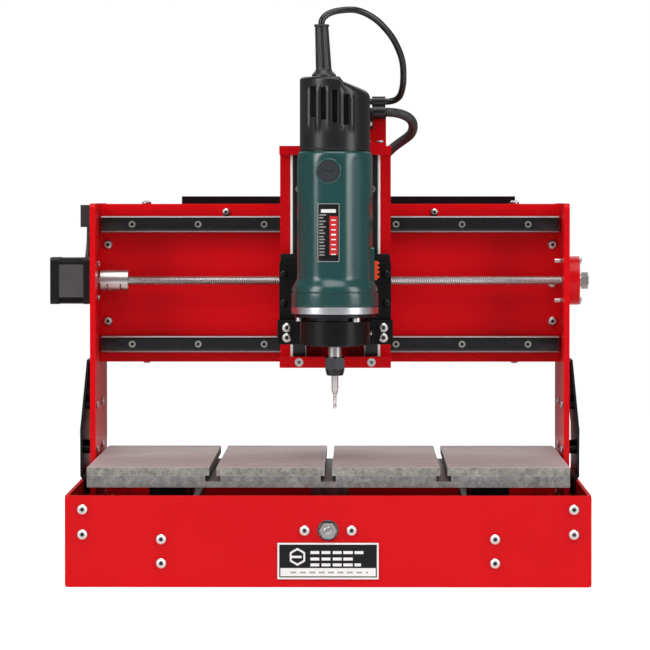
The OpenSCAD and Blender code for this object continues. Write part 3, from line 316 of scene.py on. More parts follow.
def windings(name):
    """Lacquered copper wire wound along the motor."""
    n = Net(name)
    wires = n.noise(1100, 1, 0.5, (1, 1, 0.02))
    base = n.mix(wires, (0.22, 0.07, 0.02), (0.62, 0.28, 0.1))
    n.set(Base_Color=base, Metallic=0.9, Roughness=0.35, Coat_Weight=0.6)
    n.bump(wires, 0.5, 0.0002)
    return n.mat


def circuit(name):
    """Solder mask with faint tracks and pads."""
    n = Net(name)
    tracks = n.add("ShaderNodeTexBrick")
    n.put(tracks.inputs["Vector"], n.scaled((90, 90, 90), (math.pi / 2, 0, 0)))
    n.put(tracks.inputs["Color1"], (0.006, 0.09, 0.03))
    n.put(tracks.inputs["Color2"], (0.008, 0.11, 0.035))
    n.put(tracks.inputs["Mortar"], (0.03, 0.2, 0.06))
    pads = n.ramp(n.cells(160), 1.0, 0.0, 0.12, 0.16)
    base = n.mix(pads, tracks.outputs[0], (0.5, 0.42, 0.2))
    n.set(Base_Color=base, Metallic=n.math("MULTIPLY", pads, 0.8), Roughness=0.35, Coat_Weight=0.4)
    n.bump(pads, 0.3, 0.0002)
    return n.mat


M = {}


def make_materials():
    M["red"] = powder_coat("red_powder_coat", RED, 0.4, 0.12, 1.35, 0.1)
    # Brighter copy of the same red paint for the beam: painted light that lifts the beam out of its
    # shade.
    M["red_lit_beam"] = powder_coat("red_coat_painted_light", shade(RED, 1.3), 0.4, 0.12, 1.35, 0.1)
    M["black"] = powder_coat("black_powder_coat", BLACK, 0.3, 0.0, 1.5, 0.22)
    M["grey"] = powder_coat("grey_primer", (0.03, 0.03, 0.032), 0.5, 0.0)
    M["rail_x"] = brushed("rail_face_x", (0.05, 0.048, 0.05), 0.3, 0)
    M["rail_y"] = brushed("rail_face_y", (0.085, 0.083, 0.085), 0.34, 1)
    M["rail_z"] = brushed("rail_face_z", (0.05, 0.05, 0.052), 0.34, 2, highlight_band=Z_EDGE_HIGHLIGHT)
    # Pale copies of the rail steel for the bevels, the X one pinkish: painted highlight, and on X a
    # painted red reflection.
    M["bevel_highlight_x"] = brushed("bevel_painted_highlight_x", (0.42, 0.37, 0.37), 0.42, 0)
    M["bevel_highlight_y"] = brushed("bevel_painted_highlight_y", (0.62, 0.6, 0.6), 0.3, 1)
    M["bevel_highlight_z"] = brushed("bevel_painted_highlight_z", (0.5, 0.47, 0.46), 0.34, 2, highlight_band=Z_EDGE_HIGHLIGHT)
    M["block"] = turned("block_steel", (0.10, 0.10, 0.105), 0.36)
    M["block_cap"] = moulded("block_end_cap", (0.01, 0.01, 0.011), 0.42, spec=0.25)
    M["table"] = table_face("milled_table")
    M["table_edge"] = mill_finish("plate_edge", (0.46, 0.44, 0.41), 0.42)
    M["bed"] = mill_finish("bed_mill_finish", (0.40, 0.39, 0.39), 0.4)
    M["bracket"] = mill_finish("bracket_aluminium", (0.55, 0.55, 0.56), 0.36)
    M["brass"] = turned("nut_brass", (0.62, 0.42, 0.14), 0.28)
    M["motor"] = powder_coat("motor_enamel", (0.008, 0.008, 0.009), 0.36, 0.0, 1.5, 0.25)
    M["lamination_x"] = laminated("motor_stack_x", 0, ("Z", 0.256, 0.0148))
    M["lamination_y"] = laminated("motor_stack_y", 1)
    M["lamination_z"] = laminated("motor_stack_z", 2)
    # Zinc screws get painted shade in their sockets.
    M["zinc"] = turned("zinc_screw", (0.80, 0.79, 0.78), 0.3, dirt=0.08, socket_shade=True)
    M["black_screw"] = turned("black_screw", (0.03, 0.03, 0.033), 0.34, 0.9)
    M["shaft"] = turned("ground_shaft", (0.5, 0.49, 0.49), 0.3, dirt=0.12)
    M["thread"] = turned("rolled_thread", (0.52, 0.50, 0.50), 0.36, dirt=0.06)
    M["coupler"] = turned("turned_aluminium", (0.66, 0.64, 0.64), 0.34, dirt=0.06)
    M["red_plastic"] = moulded("red_plastic", (0.66, 0.003, 0.008), 0.3, 700, 0.12, 0.05, 0.2)
    M["flange"] = turned("cast_flange", (0.70, 0.72, 0.75), 0.3, dirt=0.08)
    M["flange_dark"] = turned("flange_underside", (0.035, 0.035, 0.038), 0.3, 0.9)
    M["green"] = moulded("green_housing", (0.008, 0.055, 0.052), 0.24, 800, 0.06, 0.12, 0.6, 0.05)
    M["cap"] = moulded("black_cap", (0.010, 0.010, 0.0115), 0.3, 700, 0.2, spec=0.45, wear=0.08)
    M["brush"] = moulded("brush_cap", (0.028, 0.03, 0.034), 0.36, 900, 0.2, spec=0.3)
    M["rubber"] = rubber("cord_boot_rubber", (0.012, 0.012, 0.013), 0.42)
    M["cord"] = rubber("cord_sheath", (0.006, 0.006, 0.0065), 0.24)
    M["conduit"] = moulded("conduit_nylon", (0.03, 0.03, 0.032), 0.36, 900, 0.2, spec=0.5)
    M["copper"] = windings("windings")
    M["board"] = circuit("circuit_board")
    M["nut"] = turned("collet_nut", (0.05, 0.05, 0.053), 0.36)
    M["bit"] = turned("carbide_bit", (0.62, 0.61, 0.60), 0.2)
    M["orange"] = moulded("orange_switch", (0.78, 0.07, 0.012), 0.32, 800, 0.1, 0.1, 0.2)
    M["ink_black"] = moulded("ink_black", (0.006, 0.006, 0.0065), 0.35, 900, 0.1, 0.0, 0.25)
    M["ink_white"] = moulded("ink_white", (0.78, 0.78, 0.77), 0.4, 900, 0.1, 0.3)
    M["ink_grey"] = moulded("ink_grey", (0.32, 0.32, 0.33), 0.4, 900, 0.1, 0.3)
    M["ink_red"] = moulded("ink_red", (0.55, 0.01, 0.015), 0.4, 900, 0.1, 0.3)


# ---- Places read from the frame ----

def middle(node, *axes):
    """Centre of a node's box along the given axes, to 0.1 mm."""
    low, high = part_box(node)
    return tuple(round((low[a] + high[a]) / 2, 4) for a in axes)


X_SCREW = middle("x_screw", 1, 2)
Y_SCREW = middle("y_screw", 0, 2)
Z_SCREW = middle("z_screw", 0, 1)
AXIS = Vector((*middle("bearing_flange", 0, 1), 0))
CAP_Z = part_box("motor_housing")[1].z / MM


# ---- CAD nodes: materials by place, and softened edges ----

def paint(node, *keys, pick=None):
    """Gives a CAD node one or more materials; pick(centre, normal) returns the index for a face."""
    mesh = NODES[node].data
    mesh.materials.clear()
    for key in keys:
        mesh.materials.append(M[key])
    for face in mesh.polygons:
        face.material_index = pick(face.center, face.normal) if pick else 0


def soften(node, width=0.4, segments=2, angle=28):
    """Joins the triangles' corners and rounds the sharp edges of a CAD node."""
    obj = NODES[node]
    for face in obj.data.polygons:
        face.use_smooth = True
    weld = obj.modifiers.new("weld", "WELD")
    weld.merge_threshold = 1e-6
    plain = obj.modifiers.new("plain", "DECIMATE")
    plain.decimate_type = "DISSOLVE"
    plain.angle_limit = math.radians(0.5)
    if width:
        bevel = obj.modifiers.new("bevel", "BEVEL")
        bevel.width = width * MM
        bevel.segments = segments
        bevel.limit_method = "ANGLE"
        bevel.angle_limit = math.radians(angle)
        bevel.use_clamp_overlap = True
        bevel.harden_normals = False
    sharp = obj.modifiers.new("flats", "WEIGHTED_NORMAL")
    sharp.keep_sharp = True


def rail_pick(axis_out):
    """Face of the rail that looks outwards is dark; its narrow bevels take a pale copy of the steel, a
    painted highlight.
    """
    def pick(centre, normal):
        out = abs(normal[axis_out])
        return 1 if 0.45 < out < 0.9 else 0
    return pick


def motor_pick(axis, face_at, sign):
    """End caps are enamelled, the middle of the body is the steel stack."""
    stack_start, stack_end = 8.2 * MM, 29.8 * MM

    def pick(centre, normal):
        depth = (centre[axis] - face_at) * sign
        return int(stack_start < depth < stack_end)
    return pick


def inside_circle(point, a, b, centre, radius):
    """True when the point's coordinates a and b lie inside a circle."""
    return math.hypot(point[a] - centre[0], point[b] - centre[1]) < radius


def paint_cad():
    for node in ("front_panel", "rear_panel", "left_side_wall", "right_side_wall", "base_tray",
                 "left_column", "right_column", "z_back_plate", "z_top_plate", "z_bottom_plate",
                 "cable_post"):
        paint(node, "red")
    # The beam and its back plate take the brighter copy of the red: painted light.
    for node in ("gantry_beam", "beam_back_plate"):
        paint(node, "red_lit_beam")
    for node in ("column_covers", "control_box", "control_box_lid", "z_plate", "spindle_clamp"):
        paint(node, "black")
    paint("rail_beams", "grey")
    # Rail faces dark, bevels in the pale copy with the painted highlight.
    paint("y_rails", "rail_y", "bevel_highlight_y", pick=rail_pick(2))
    paint("x_rails", "rail_x", "bevel_highlight_x", pick=rail_pick(1))
    paint("z_rails", "rail_z", "bevel_highlight_z", pick=rail_pick(1))
    paint_blocks()
    table_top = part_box("table_plates")[1].z
    paint("table_plates", "table_edge", "table",
          pick=lambda c, n: 1 if n.z > 0.9 and c.z > table_top - 0.1 * MM else 0)
    paint("table_bed", "bed")
    ball_bearing = 10.9 * MM
    bearing_x, bearing_y = 218.5 * MM, -190 * MM
    paint("y_front_bearing", "bracket", "zinc",
          pick=lambda c, n: int(inside_circle(c, 0, 2, Y_SCREW, ball_bearing) and c.y < bearing_y))
    paint("x_end_bearing", "red_plastic", "zinc",
          pick=lambda c, n: int(inside_circle(c, 1, 2, X_SCREW, ball_bearing) and c.x > bearing_x))
    paint_drives()
    for node in ("frame_bolts", "rail_bolts", "table_screws", "carriage_bolts"):
        paint(node, "zinc")
    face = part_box("z_plate")[0].y
    above_ring = 230 * MM
    paint("head_bolts", "zinc", "black_screw",
          pick=lambda c, n: int(face - 3 * MM < c.y < face + 20 * MM and c.z > above_ring))
    rim_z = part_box("bearing_flange")[1].z - 6.05 * MM
    paint("bearing_flange", "flange_dark", "flange",
          pick=lambda c, n: int(c.z > rim_z and abs(n.z) < 0.9))
    paint("brush_caps", "brush")
    paint("stator", "copper")
    paint("control_board", "board")
    paint("cable_entry", "conduit")
    paint("cable_clip", "cap")
    paint("power_slide", "orange")
    paint("x_screw_fittings", "coupler", "shaft",
          pick=lambda c, n: 1 if c.x > 0 else 0)
    paint("y_screw_fittings", "coupler", "shaft",
          pick=lambda c, n: 1 if c.y < 0 else 0)
    paint("spindle_shaft", "shaft")


def paint_blocks():
    """Guide blocks: steel in the middle, plastic caps at both ends of the travel direction."""
    for node, axis in (("x_blocks", 0), ("y_blocks", 1), ("z_blocks", 2)):
        low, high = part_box(node)
        length, cap = 61.4 * MM, 10.6 * MM
        centres = [(low[axis] + high[axis]) / 2]
        if high[axis] - low[axis] > 1.5 * length:
            centres = [low[axis] + length / 2, high[axis] - length / 2]

        def pick(centre, normal, axis=axis, centres=centres):
            offset = min(abs(centre[axis] - c) for c in centres)
            return int(offset > length / 2 - cap)
        paint(node, "block", "block_cap", pick=pick)


def paint_drives():
    x_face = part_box("x_motor")[1].x - 2 * MM
    y_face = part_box("y_motor")[0].y + 2 * MM
    z_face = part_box("z_motor")[0].z + 2 * MM
    paint("x_motor", "motor", "lamination_x", pick=motor_pick(0, x_face, -1))
    paint("y_motor", "motor", "lamination_y", pick=motor_pick(1, y_face, 1))
    paint("z_motor", "motor", "lamination_z", pick=motor_pick(2, z_face, 1))
    nut_r, hole_r = 11.2 * MM, 5.1 * MM
    x_nut_end = Z_SCREW[0] + 16.9 * MM
    y_nut_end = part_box("y_drive_nut")[1].y - 3.6 * MM
    z_nut_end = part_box("z_drive_nut")[1].z - 3.6 * MM
    paint("x_drive_nut", "bracket", "brass",
          pick=lambda c, n: int(inside_circle(c, 1, 2, X_SCREW, nut_r)
                                and (c.x > x_nut_end or inside_circle(c, 1, 2, X_SCREW, hole_r))))
    paint("y_drive_nut", "bracket", "brass",
          pick=lambda c, n: int(inside_circle(c, 0, 2, Y_SCREW, nut_r)
                                and (c.y > y_nut_end or inside_circle(c, 0, 2, Y_SCREW, hole_r))))
    paint("z_drive_nut", "bracket", "brass",
          pick=lambda c, n: int(inside_circle(c, 0, 1, Z_SCREW, nut_r)
                                and (c.z > z_nut_end or inside_circle(c, 0, 1, Z_SCREW, hole_r))))


def soften_cad():
    sheet = ("front_panel", "rear_panel", "left_side_wall", "right_side_wall", "left_column",
             "right_column", "gantry_beam", "column_covers", "control_box", "control_box_lid")
    for node in sheet:
        soften(node, 0.6)
    for node in ("z_back_plate", "z_top_plate", "z_bottom_plate", "cable_post", "beam_back_plate",
                 "base_tray", "rail_beams", "z_plate", "table_plates", "table_bed"):
        soften(node, 0.35)
    for node in ("spindle_clamp", "bearing_flange", "x_end_bearing", "cable_clip", "power_slide",
                 "y_front_bearing", "brush_caps", "x_blocks", "y_blocks", "z_blocks", "x_drive_nut",
                 "y_drive_nut", "z_drive_nut", "x_motor", "y_motor", "z_motor", "x_screw_fittings",
                 "y_screw_fittings", "spindle_shaft", "cable_entry"):
        soften(node, 0.4)
    for node in ("frame_bolts", "rail_bolts", "table_screws", "carriage_bolts", "head_bolts"):
        soften(node, 0.15, 1, 40)
    for node in ("x_rails", "y_rails", "z_rails", "stator", "control_board"):
        soften(node, 0)


# ---- Mesh helpers ----

def mesh_object(name, verts, faces, *keys, smooth=True, sharp=40):
    """New object from points in metres; keys name its materials in M."""
    mesh = bpy.data.meshes.new(name)
    mesh.from_pydata([tuple(v) for v in verts], [], faces)
    for key in keys:
        mesh.materials.append(M[key])
    mesh.update()
    for face in mesh.polygons:
        face.use_smooth = smooth
    obj = bpy.data.objects.new(name, mesh)
    bpy.context.scene.collection.objects.link(obj)
    clean(obj)
    if smooth:
        mesh.set_sharp_from_angle(angle=math.radians(sharp))
    return obj


def clean(obj):
    """Turns every face outwards."""
    bm = bmesh.new()
    bm.from_mesh(obj.data)
    bmesh.ops.recalc_face_normals(bm, faces=bm.faces)
    bm.to_mesh(obj.data)
    bm.free()


def loft(rings, closed=False):
    """Skin over rings with the same count; closed joins the last ring to the first."""
    verts = [p for ring in rings for p in ring]
    n = len(rings[0])
    faces = []
    count = len(rings)
    for i in range(count if closed else count - 1):
        a, b = i * n, (i + 1) % count * n
        for k in range(n):
            j = (k + 1) % n
            faces.append((a + k, a + j, b + j, b + k))
    if not closed:
        faces.append(tuple(range(n))[::-1])
        faces.append(tuple((count - 1) * n + k for k in range(n)))
    return verts, faces


def round_ring(r, z, n=96, section=None):
    """Level ring about the tool axis; section(angle, r, z) returns the radius at an angle."""
    points = []
    for k in range(n):
        a = 2 * math.pi * k / n
        rr = section(a, r, z) if section else r
        points.append((AXIS.x + rr * MM * math.cos(a), AXIS.y + rr * MM * math.sin(a), z * MM))
    return points


def lathe(profile, n=96, section=None, closed=True):
    """Turned shape about the tool axis from (radius, height) pairs in mm."""
    return loft([round_ring(r, z, n, section) for r, z in profile], closed)


def rounded(w, h, r, n=6):
    """Outline of a rounded rectangle about 0, as (u, v) pairs in mm."""
    points = []
    for cu, cv, start in ((1, 1, 0), (-1, 1, 90), (-1, -1, 180), (1, -1, 270)):
        for i in range(n + 1):
            a = math.radians(start + 90 * i / n)
            points.append((cu * (w / 2 - r) + r * math.cos(a), cv * (h / 2 - r) + r * math.sin(a)))
    return points


def slab(w, h, r, levels, place):
    """Rounded block: levels are (depth, inset) pairs and place(u, v, depth) gives the point."""
    rings = []
    for depth, inset in levels:
        rings.append([place(u, v, depth) for u, v in rounded(w - 2 * inset, h - 2 * inset,
                                                             max(r - inset, 0.05))])
    return loft(rings)


def cutter(low, high, turn=0.0):
    """Plain block for cutting, in mm from the tool axis, turned about it."""
    m = Matrix.Translation(AXIS) @ Matrix.Rotation(turn, 4, "Z")
    rings = [[m @ (Vector((x, y, z)) * MM) for x, y in
              ((low[0], low[1]), (high[0], low[1]), (high[0], high[1]), (low[0], high[1]))]
             for z in (low[2], high[2])]
    return loft(rings)


def drill(r, start, end, n=48):
    """Round cutter between two points in mm."""
    a, b = Vector(start) * MM, Vector(end) * MM
    turn = (b - a).to_track_quat("Z", "Y")
    rings = [[p + turn @ Vector((r * MM * math.cos(2 * math.pi * k / n),
                                 r * MM * math.sin(2 * math.pi * k / n), 0)) for k in range(n)]
             for p in (a, b)]
    return loft(rings)


def combine(obj, tools, kind="DIFFERENCE"):
    """Cuts or joins closed shells into obj and keeps one plain mesh."""
    others = []
    for i, (verts, faces) in enumerate(tools):
        other = mesh_object(f"tool_{i}", verts, faces, smooth=False)
        others.append(other)
        step = obj.modifiers.new(f"step_{i}", "BOOLEAN")
        step.operation = kind
        step.solver = "EXACT"
        step.object = other
    graph = bpy.context.evaluated_depsgraph_get()
    mesh = bpy.data.meshes.new_from_object(obj.evaluated_get(graph))
    obj.modifiers.clear()
    obj.data = mesh
    for other in others:
        bpy.data.objects.remove(other)
    for face in mesh.polygons:
        face.use_smooth = True
    mesh.set_sharp_from_angle(angle=math.radians(40))
    return obj


def round_edges(obj, width, segments=2, angle=40):
    """Small bevel, width in mm, on edges sharper than angle."""
    bevel = obj.modifiers.new("bevel", "BEVEL")
    bevel.width = width * MM
    bevel.segments = segments
    bevel.limit_method = "ANGLE"
    bevel.angle_limit = math.radians(angle)
    bevel.use_clamp_overlap = True
    obj.modifiers.new("flats", "WEIGHTED_NORMAL").keep_sharp = True
    return obj


def bezier(a, b, c, d, u):
    return a * (1 - u) ** 3 + b * 3 * (1 - u) ** 2 * u + c * 3 * (1 - u) * u * u + d * u ** 3


def resample(points, step):
    """Points at even spacing along a path."""
    lengths = [0.0]
    for a, b in zip(points, points[1:]):
        lengths.append(lengths[-1] + (b - a).length)
    count = max(2, int(lengths[-1] / step))
    out, k = [], 0
    for i in range(count + 1):
        at = lengths[-1] * i / count
        while k < len(points) - 2 and lengths[k + 1] < at:
            k += 1
        span = max(lengths[k + 1] - lengths[k], 1e-9)
        out.append(points[k].lerp(points[k + 1], (at - lengths[k]) / span))
    return out


def tube(points, radius, n=20):
    """Skin along a path; radius(i, distance, angle) is in metres."""
    side = Vector((0, 1, 0))
    distance, rings = 0.0, []
    for i, p in enumerate(points):
        ahead = points[min(i + 1, len(points) - 1)] - points[max(i - 1, 0)]
        ahead.normalize()
        side = (side - ahead * side.dot(ahead)).normalized()
        up = ahead.cross(side)
        if i:
            distance += (p - points[i - 1]).length
        ring = []
        for k in range(n):
            a = 2 * math.pi * k / n
            ring.append(p + (side * math.cos(a) + up * math.sin(a)) * radius(i, distance, a))
        rings.append(ring)
    return loft(rings)


# ---- Motor housing, cap and boot ----

def ease(x, low, high):
    """Smooth step from 0 at low to 1 at high."""
    t = min(1.0, max(0.0, (x - low) / (high - low)))
    return t * t * (3 - 2 * t)


# The motor is turned a little to the left in its clamp; radii and heights are in mm.
FACE_TURN = math.radians(-9.6)
BODY_R = 33.75
RING_R = 38.5
BRUSH_Z = 354.5
CAP_R = 31.0


def housing_section(a, r, z):
    """Round at the ring and at the top, eight soft lobes between."""
    bore, ring_top = 29, 250
    if r < bore or z < ring_top:
        return r
    flat = ease(z, 252, 264) * (1 - ease(z, CAP_Z - 9, CAP_Z - 2))
    wave = 0.5 + 0.5 * math.cos(8 * (a - FACE_TURN + math.pi / 2))
    return r * (1 - 0.028 * flat * wave)


def motor_housing():
    """Shell with the front ring, the raised pad on the right and the holes for the brush caps."""
    bore, foot = 27, 235
    profile = [(bore, foot), (37.6, foot), (38.3, 235.3), (RING_R, 236)]
    profile += [(RING_R, z) for z in (239, 243, 246.4)]
    profile += [(38.3, 246.9), (37.3, 247.0), (37.3, 248.2), (38.1, 248.4), (38.2, 249.2)]
    for i in range(1, 17):
        t = i / 16
        profile.append((BODY_R + (38 - BODY_R) * (1 + math.cos(math.pi * t)) / 2, 249.6 + 12.6 * t))
    top = CAP_Z - 10
    profile += [(BODY_R, 264 + (top - 264) * i / 24) for i in range(1, 25)]
    for i in range(1, 9):
        a = math.pi / 2 * i / 8
        profile.append((BODY_R - 2.5 + 2.5 * math.cos(a), top + 9.2 * math.sin(a)))
    profile += [(CAP_R, CAP_Z), (bore, CAP_Z)]
    profile += [(bore, CAP_Z - (CAP_Z - foot) * i / 6) for i in range(1, 6)]
    obj = mesh_object("housing_shell", *lathe(profile, 144, section=housing_section), "green")

    pad_z = 270.5

    def pad_at(u, v, depth):
        return (AXIS.x + depth * MM, AXIS.y + u * MM, (pad_z + v) * MM)
    pad = slab(18, 34, 2.5, [(29.5, 0), (34.2, 0), (34.8, 0.6)], pad_at)
    combine(obj, [pad], "UNION")
    cuts = [cutter((26, -2.8, 261), (60, 2.8, 280))]
    for side in (1, -1):
        line = Vector((-math.sin(FACE_TURN), math.cos(FACE_TURN), 0)) * -side
        centre = AXIS / MM + Vector((0, 0, BRUSH_Z))
        cuts.append(drill(9.3, centre + line * 24, centre + line * 50))
    combine(obj, cuts)
    round_edges(obj, 0.25, 2, 45)
    obj.data.materials.clear()
    obj.data.materials.append(M["green"])
    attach(obj, "head")
    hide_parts("motor_housing")


def brush_bezels():
    """Raised collar moulded round each brush cap."""
    for side, name in ((1, "front"), (-1, "rear")):
        line = Vector((-math.sin(FACE_TURN), math.cos(FACE_TURN), 0)) * -side
        across = Vector((line.y, -line.x, 0))
        centre = AXIS + Vector((0, 0, BRUSH_Z * MM))
        profile = [(9.35, 30.5), (9.35, 32.9), (9.7, 33.2), (10.5, 33.2), (11.0, 32.9), (11.6, 32.1),
                   (11.6, 30.5)]
        rings = []
        for r, d in profile:
            rings.append([centre + line * d * MM + (across * math.cos(2 * math.pi * k / 64)
                          + Vector((0, 0, 1)) * math.sin(2 * math.pi * k / 64)) * r * MM
                          for k in range(64)])
        obj = mesh_object(f"brush_bezel_{name}", *loft(rings, True), "green")
        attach(obj, "head")


def cap_top(x):
    """Height of the cap's top: high at the left, a step beside the boot, then a slope."""
    return 437.5 - 4.2 * ease(x, 3.5, 7.5) - 0.42 * max(0.0, x - 7)


# Vent slots of the cap: x, low end, high end.
VENTS = ((-19.5, 402, 429), (-10, 399.5, 428), (0, 397, 426), (10, 395, 422))


def cap_section(a, r, z):
    """Raised ribs between the vents, front and back."""
    if r < 30.5 or z > 433 or z < CAP_Z + 16:
        return r
    x, y = r * math.cos(a), abs(r * math.sin(a))
    side = 1 if math.sin(a) < 0 else -1
    rib = 0.0
    for at in (-24.6, -14.8, -5, 5, 14.8):
        rib = max(rib, 1 - ease(abs(x * side - at), 1.2, 2.6))
    fade = ease(z, CAP_Z + 16, CAP_Z + 22) * (1 - ease(z, cap_top(x) - 12, cap_top(x) - 7))
    return r + 0.9 * rib * fade * (1 if y > 12 else 0)


def cap_corner(a):
    """Radius of the top corner at an angle: small at the left, wide at the right."""
    return 3.2 + 5.0 * ease(math.cos(a), -0.2, 0.7)


def cap_wall_ring(t, inset, n):
    """Ring at share t of the way from the seam up to where the top corner starts."""
    ring = []
    for k in range(n):
        a = 2 * math.pi * k / n
        high = cap_top((CAP_R - cap_corner(a)) * math.cos(a)) - cap_corner(a)
        z = CAP_Z + (high - CAP_Z) * t
        r = cap_section(a, CAP_R, z) - inset
        ring.append((AXIS.x + r * math.cos(a) * MM, AXIS.y + r * math.sin(a) * MM, z * MM))
    return ring


def cap_corner_ring(turn, n):
    """Ring on the rounded top corner, turn from 0 at the wall to 90 degrees at the top."""
    ring = []
    for k in range(n):
        a = 2 * math.pi * k / n
        corner = cap_corner(a)
        r = CAP_R - corner * (1 - math.cos(turn))
        high = cap_top((CAP_R - corner) * math.cos(a))
        ring.append((AXIS.x + r * math.cos(a) * MM, AXIS.y + r * math.sin(a) * MM,
                     (high - corner * (1 - math.sin(turn))) * MM))
    return ring


def rear_cap():
    """Cap with a stepped, sloping top, hollow inside, with the slots cut through its wall."""
    n = 192
    rings = [cap_wall_ring(0, 0.6, n)] + [cap_wall_ring(0.012 + 0.988 * i / 26, 0, n)
                                          for i in range(27)]
    rings += [cap_corner_ring(math.pi / 2 * i / 8, n) for i in range(1, 9)]
    last = rings[-1]
    for f in (0.86, 0.72, 0.6, 0.5, 0.4, 0.32, 0.24, 0.16, 0.08, 0.02):
        ring = []
        for p in last:
            x = (p[0] - AXIS.x) * f / MM
            ring.append((AXIS.x + x * MM, AXIS.y + (p[1] - AXIS.y) * f, cap_top(x) * MM))
        rings.append(ring)
    obj = mesh_object("cap_shell", *loft(rings), "cap")
    room = [(0.1, CAP_Z - 1), (27.5, CAP_Z - 1), (27.5, 392), (4.3, 392), (4.3, 405), (0.1, 405)]
    cuts = [lathe(room, 64, closed=False)]
    for x, low, high in VENTS:
        for turn in (0, math.pi):
            cuts.append(cutter((x - 2.3, -40, low), (x + 2.3, -18, high), turn))
    combine(obj, cuts)
    round_edges(obj, 0.35, 2, 50)
    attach(obj, "head")
    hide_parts("rear_cap")
    seam = [(30.2, CAP_Z - 0.5), (31.6, CAP_Z - 0.5), (31.6, CAP_Z + 0.5), (30.2, CAP_Z + 0.5)]
    line = mesh_object("cap_seam", *lathe(seam, 96), "flange_dark")
    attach(line, "head")


BOOT = Vector((-4.5, AXIS.y / MM, 436))
TILT = math.radians(2.7)
BOOT_L = 48


def cord_boot():
    """Collar, tapered sleeve with upright ridges, thin lip at the top."""
    rings = []
    collar = [(10.75, 436.2), (10.75, 439.4), (10.4, 440), (8.8, 441.6), (7.5, 443.2), (7.0, 444.5)]
    sleeve = [(6.85 - 0.95 * i / 20, 445 + 36 * i / 20) for i in range(21)]
    lip = [(5.9, 481.5), (6.6, 481.9), (6.7, 482.6), (6.7, 483.4), (6.3, 483.95), (3.0, 483.95),
           (2.98, 480), (2.98, 470)]
    n = 96
    for r, z in collar + sleeve + lip:
        fade = ease(z, 443, 446) * (1 - ease(z, 480, 481.5))
        ring = []
        for k in range(n):
            a = 2 * math.pi * k / n
            ridge = 1 + fade * 0.045 * (abs(math.cos(4 * a)) ** 0.5 - 0.6)
            shift = -(z - BOOT.z) * math.tan(TILT)
            ring.append(((BOOT.x + shift + r * ridge * math.cos(a)) * MM,
                         (BOOT.y + r * ridge * math.sin(a)) * MM, z * MM))
        rings.append(ring)
    obj = mesh_object("boot_sleeve", *loft(rings), "rubber", sharp=50)
    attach(obj, "head")
    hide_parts("cord_boot")


# ---- Cord and conduit ----

CORD_CLIP = Vector((44, -6, 417.5))
CONDUIT_CLIP = Vector((44, -6, 408))
GLAND = Vector((40, 120, 335.5))


def cord_path():
    """Out of the boot, over the top, down on the right and back into the clip."""
    v = Vector
    lean = v((-math.sin(TILT), 0, math.cos(TILT)))
    root = BOOT + BOOT_L * lean
    top, far = v((20.7, -62, 497.3)), v((65.9, -30, 442.8))
    finish = CORD_CLIP + v((7, 0, 0))
    points = [root - 12 * lean]
    for i in range(25):
        points.append(bezier(root + lean, root + 9 * lean, top - v((15, 3, -0.5)), top, i / 24))
    for i in range(1, 25):
        points.append(bezier(top, top + v((20, 5, -0.7)), far + v((0, -13, 27)), far, i / 24))
    for i in range(1, 25):
        points.append(bezier(far, far + v((0, 10, -16)), finish + v((14, 0, 0)), finish, i / 24))
    points.append(CORD_CLIP - v((9, 0, 0)))
    return resample([p * MM for p in points], 1.5 * MM)


def spindle_cord():
    """Motor cord from the boot's tip to the clip, as one fixed tube."""
    def radius(i, distance, a):
        return (2.9 + 0.06 * math.cos(3 * a + distance * 260)) * MM
    obj = mesh_object("cord_cable", *tube(cord_path(), radius, 24), "cord")
    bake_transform(obj)
    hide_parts("spindle_cord")


def conduit():
    """Corrugated hose from the clip, out to the right and back down into the control box."""
    wave_rows = 4
    v = Vector
    mid = v((74.5, 45, 391))
    out = CONDUIT_CLIP + v((7, 0, 0))
    points = [CONDUIT_CLIP - v((8, 0, 0))]
    for i in range(25):
        points.append(bezier(out, out + v((17, 0, 0)), mid + v((4.5, -25, 11)), mid, i / 24))
    for i in range(1, 25):
        points.append(bezier(mid, mid + v((-3.5, 21, -9)), GLAND + v((0, 0, 42)), GLAND, i / 24))
    path = resample([p * MM for p in points], 0.55 * MM)

    def radius(i, distance, a):
        wave = 0.5 + 0.5 * math.cos(2 * math.pi * i / wave_rows)
        return (3.85 + 0.5 * wave ** 0.6) * MM
    obj = mesh_object("conduit_hose", *tube(path, radius, 20), "conduit")
    (GLAND + v((0, 0, 5))) * MM
    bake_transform(obj)
    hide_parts("conduit")


# ---- Lead screws, nut and bit ----

def lead_screw(node, body, axis):
    """Four-start trapezoid thread along one axis; the Z screw ends in a thin stub."""
    low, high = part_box(node)
    length = high[axis] - low[axis]
    centre = (low + high) / 2
    rows = int(length / (0.5 * MM))
    starts, pitch, outer, groove = 4, 2 * MM, 3.98, 0.75
    stub_from, stub_r = 374.5 * MM, 2.5 * MM
    rings = []
    for i in range(rows + 1):
        at = low[axis] + length * i / rows
        end = min(i, rows - i)
        ring = []
        for k in range(24):
            a = 2 * math.pi * k / 24
            phase = (starts * k / 24 - (at - low[axis]) / pitch) % 1.0
            depth = ease(abs(phase - 0.5) * 2, 0.25, 0.75)
            r = (outer - groove * (1 - depth) * min(1, end / 3)) * MM
            if end == 0:
                r -= 0.4 * MM
            if node == "z_screw" and at > stub_from:
                r = min(r, stub_r)
            p = [0, 0, 0]
            p[axis] = at
            p[(axis + 1) % 3] = centre[(axis + 1) % 3] + r * math.cos(a)
            p[(axis + 2) % 3] = centre[(axis + 2) % 3] + r * math.sin(a)
            ring.append(p)
        rings.append(ring)
    obj = mesh_object(node + "_thread", *loft(rings), "thread", sharp=60)
    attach(obj, body)
    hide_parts(node)


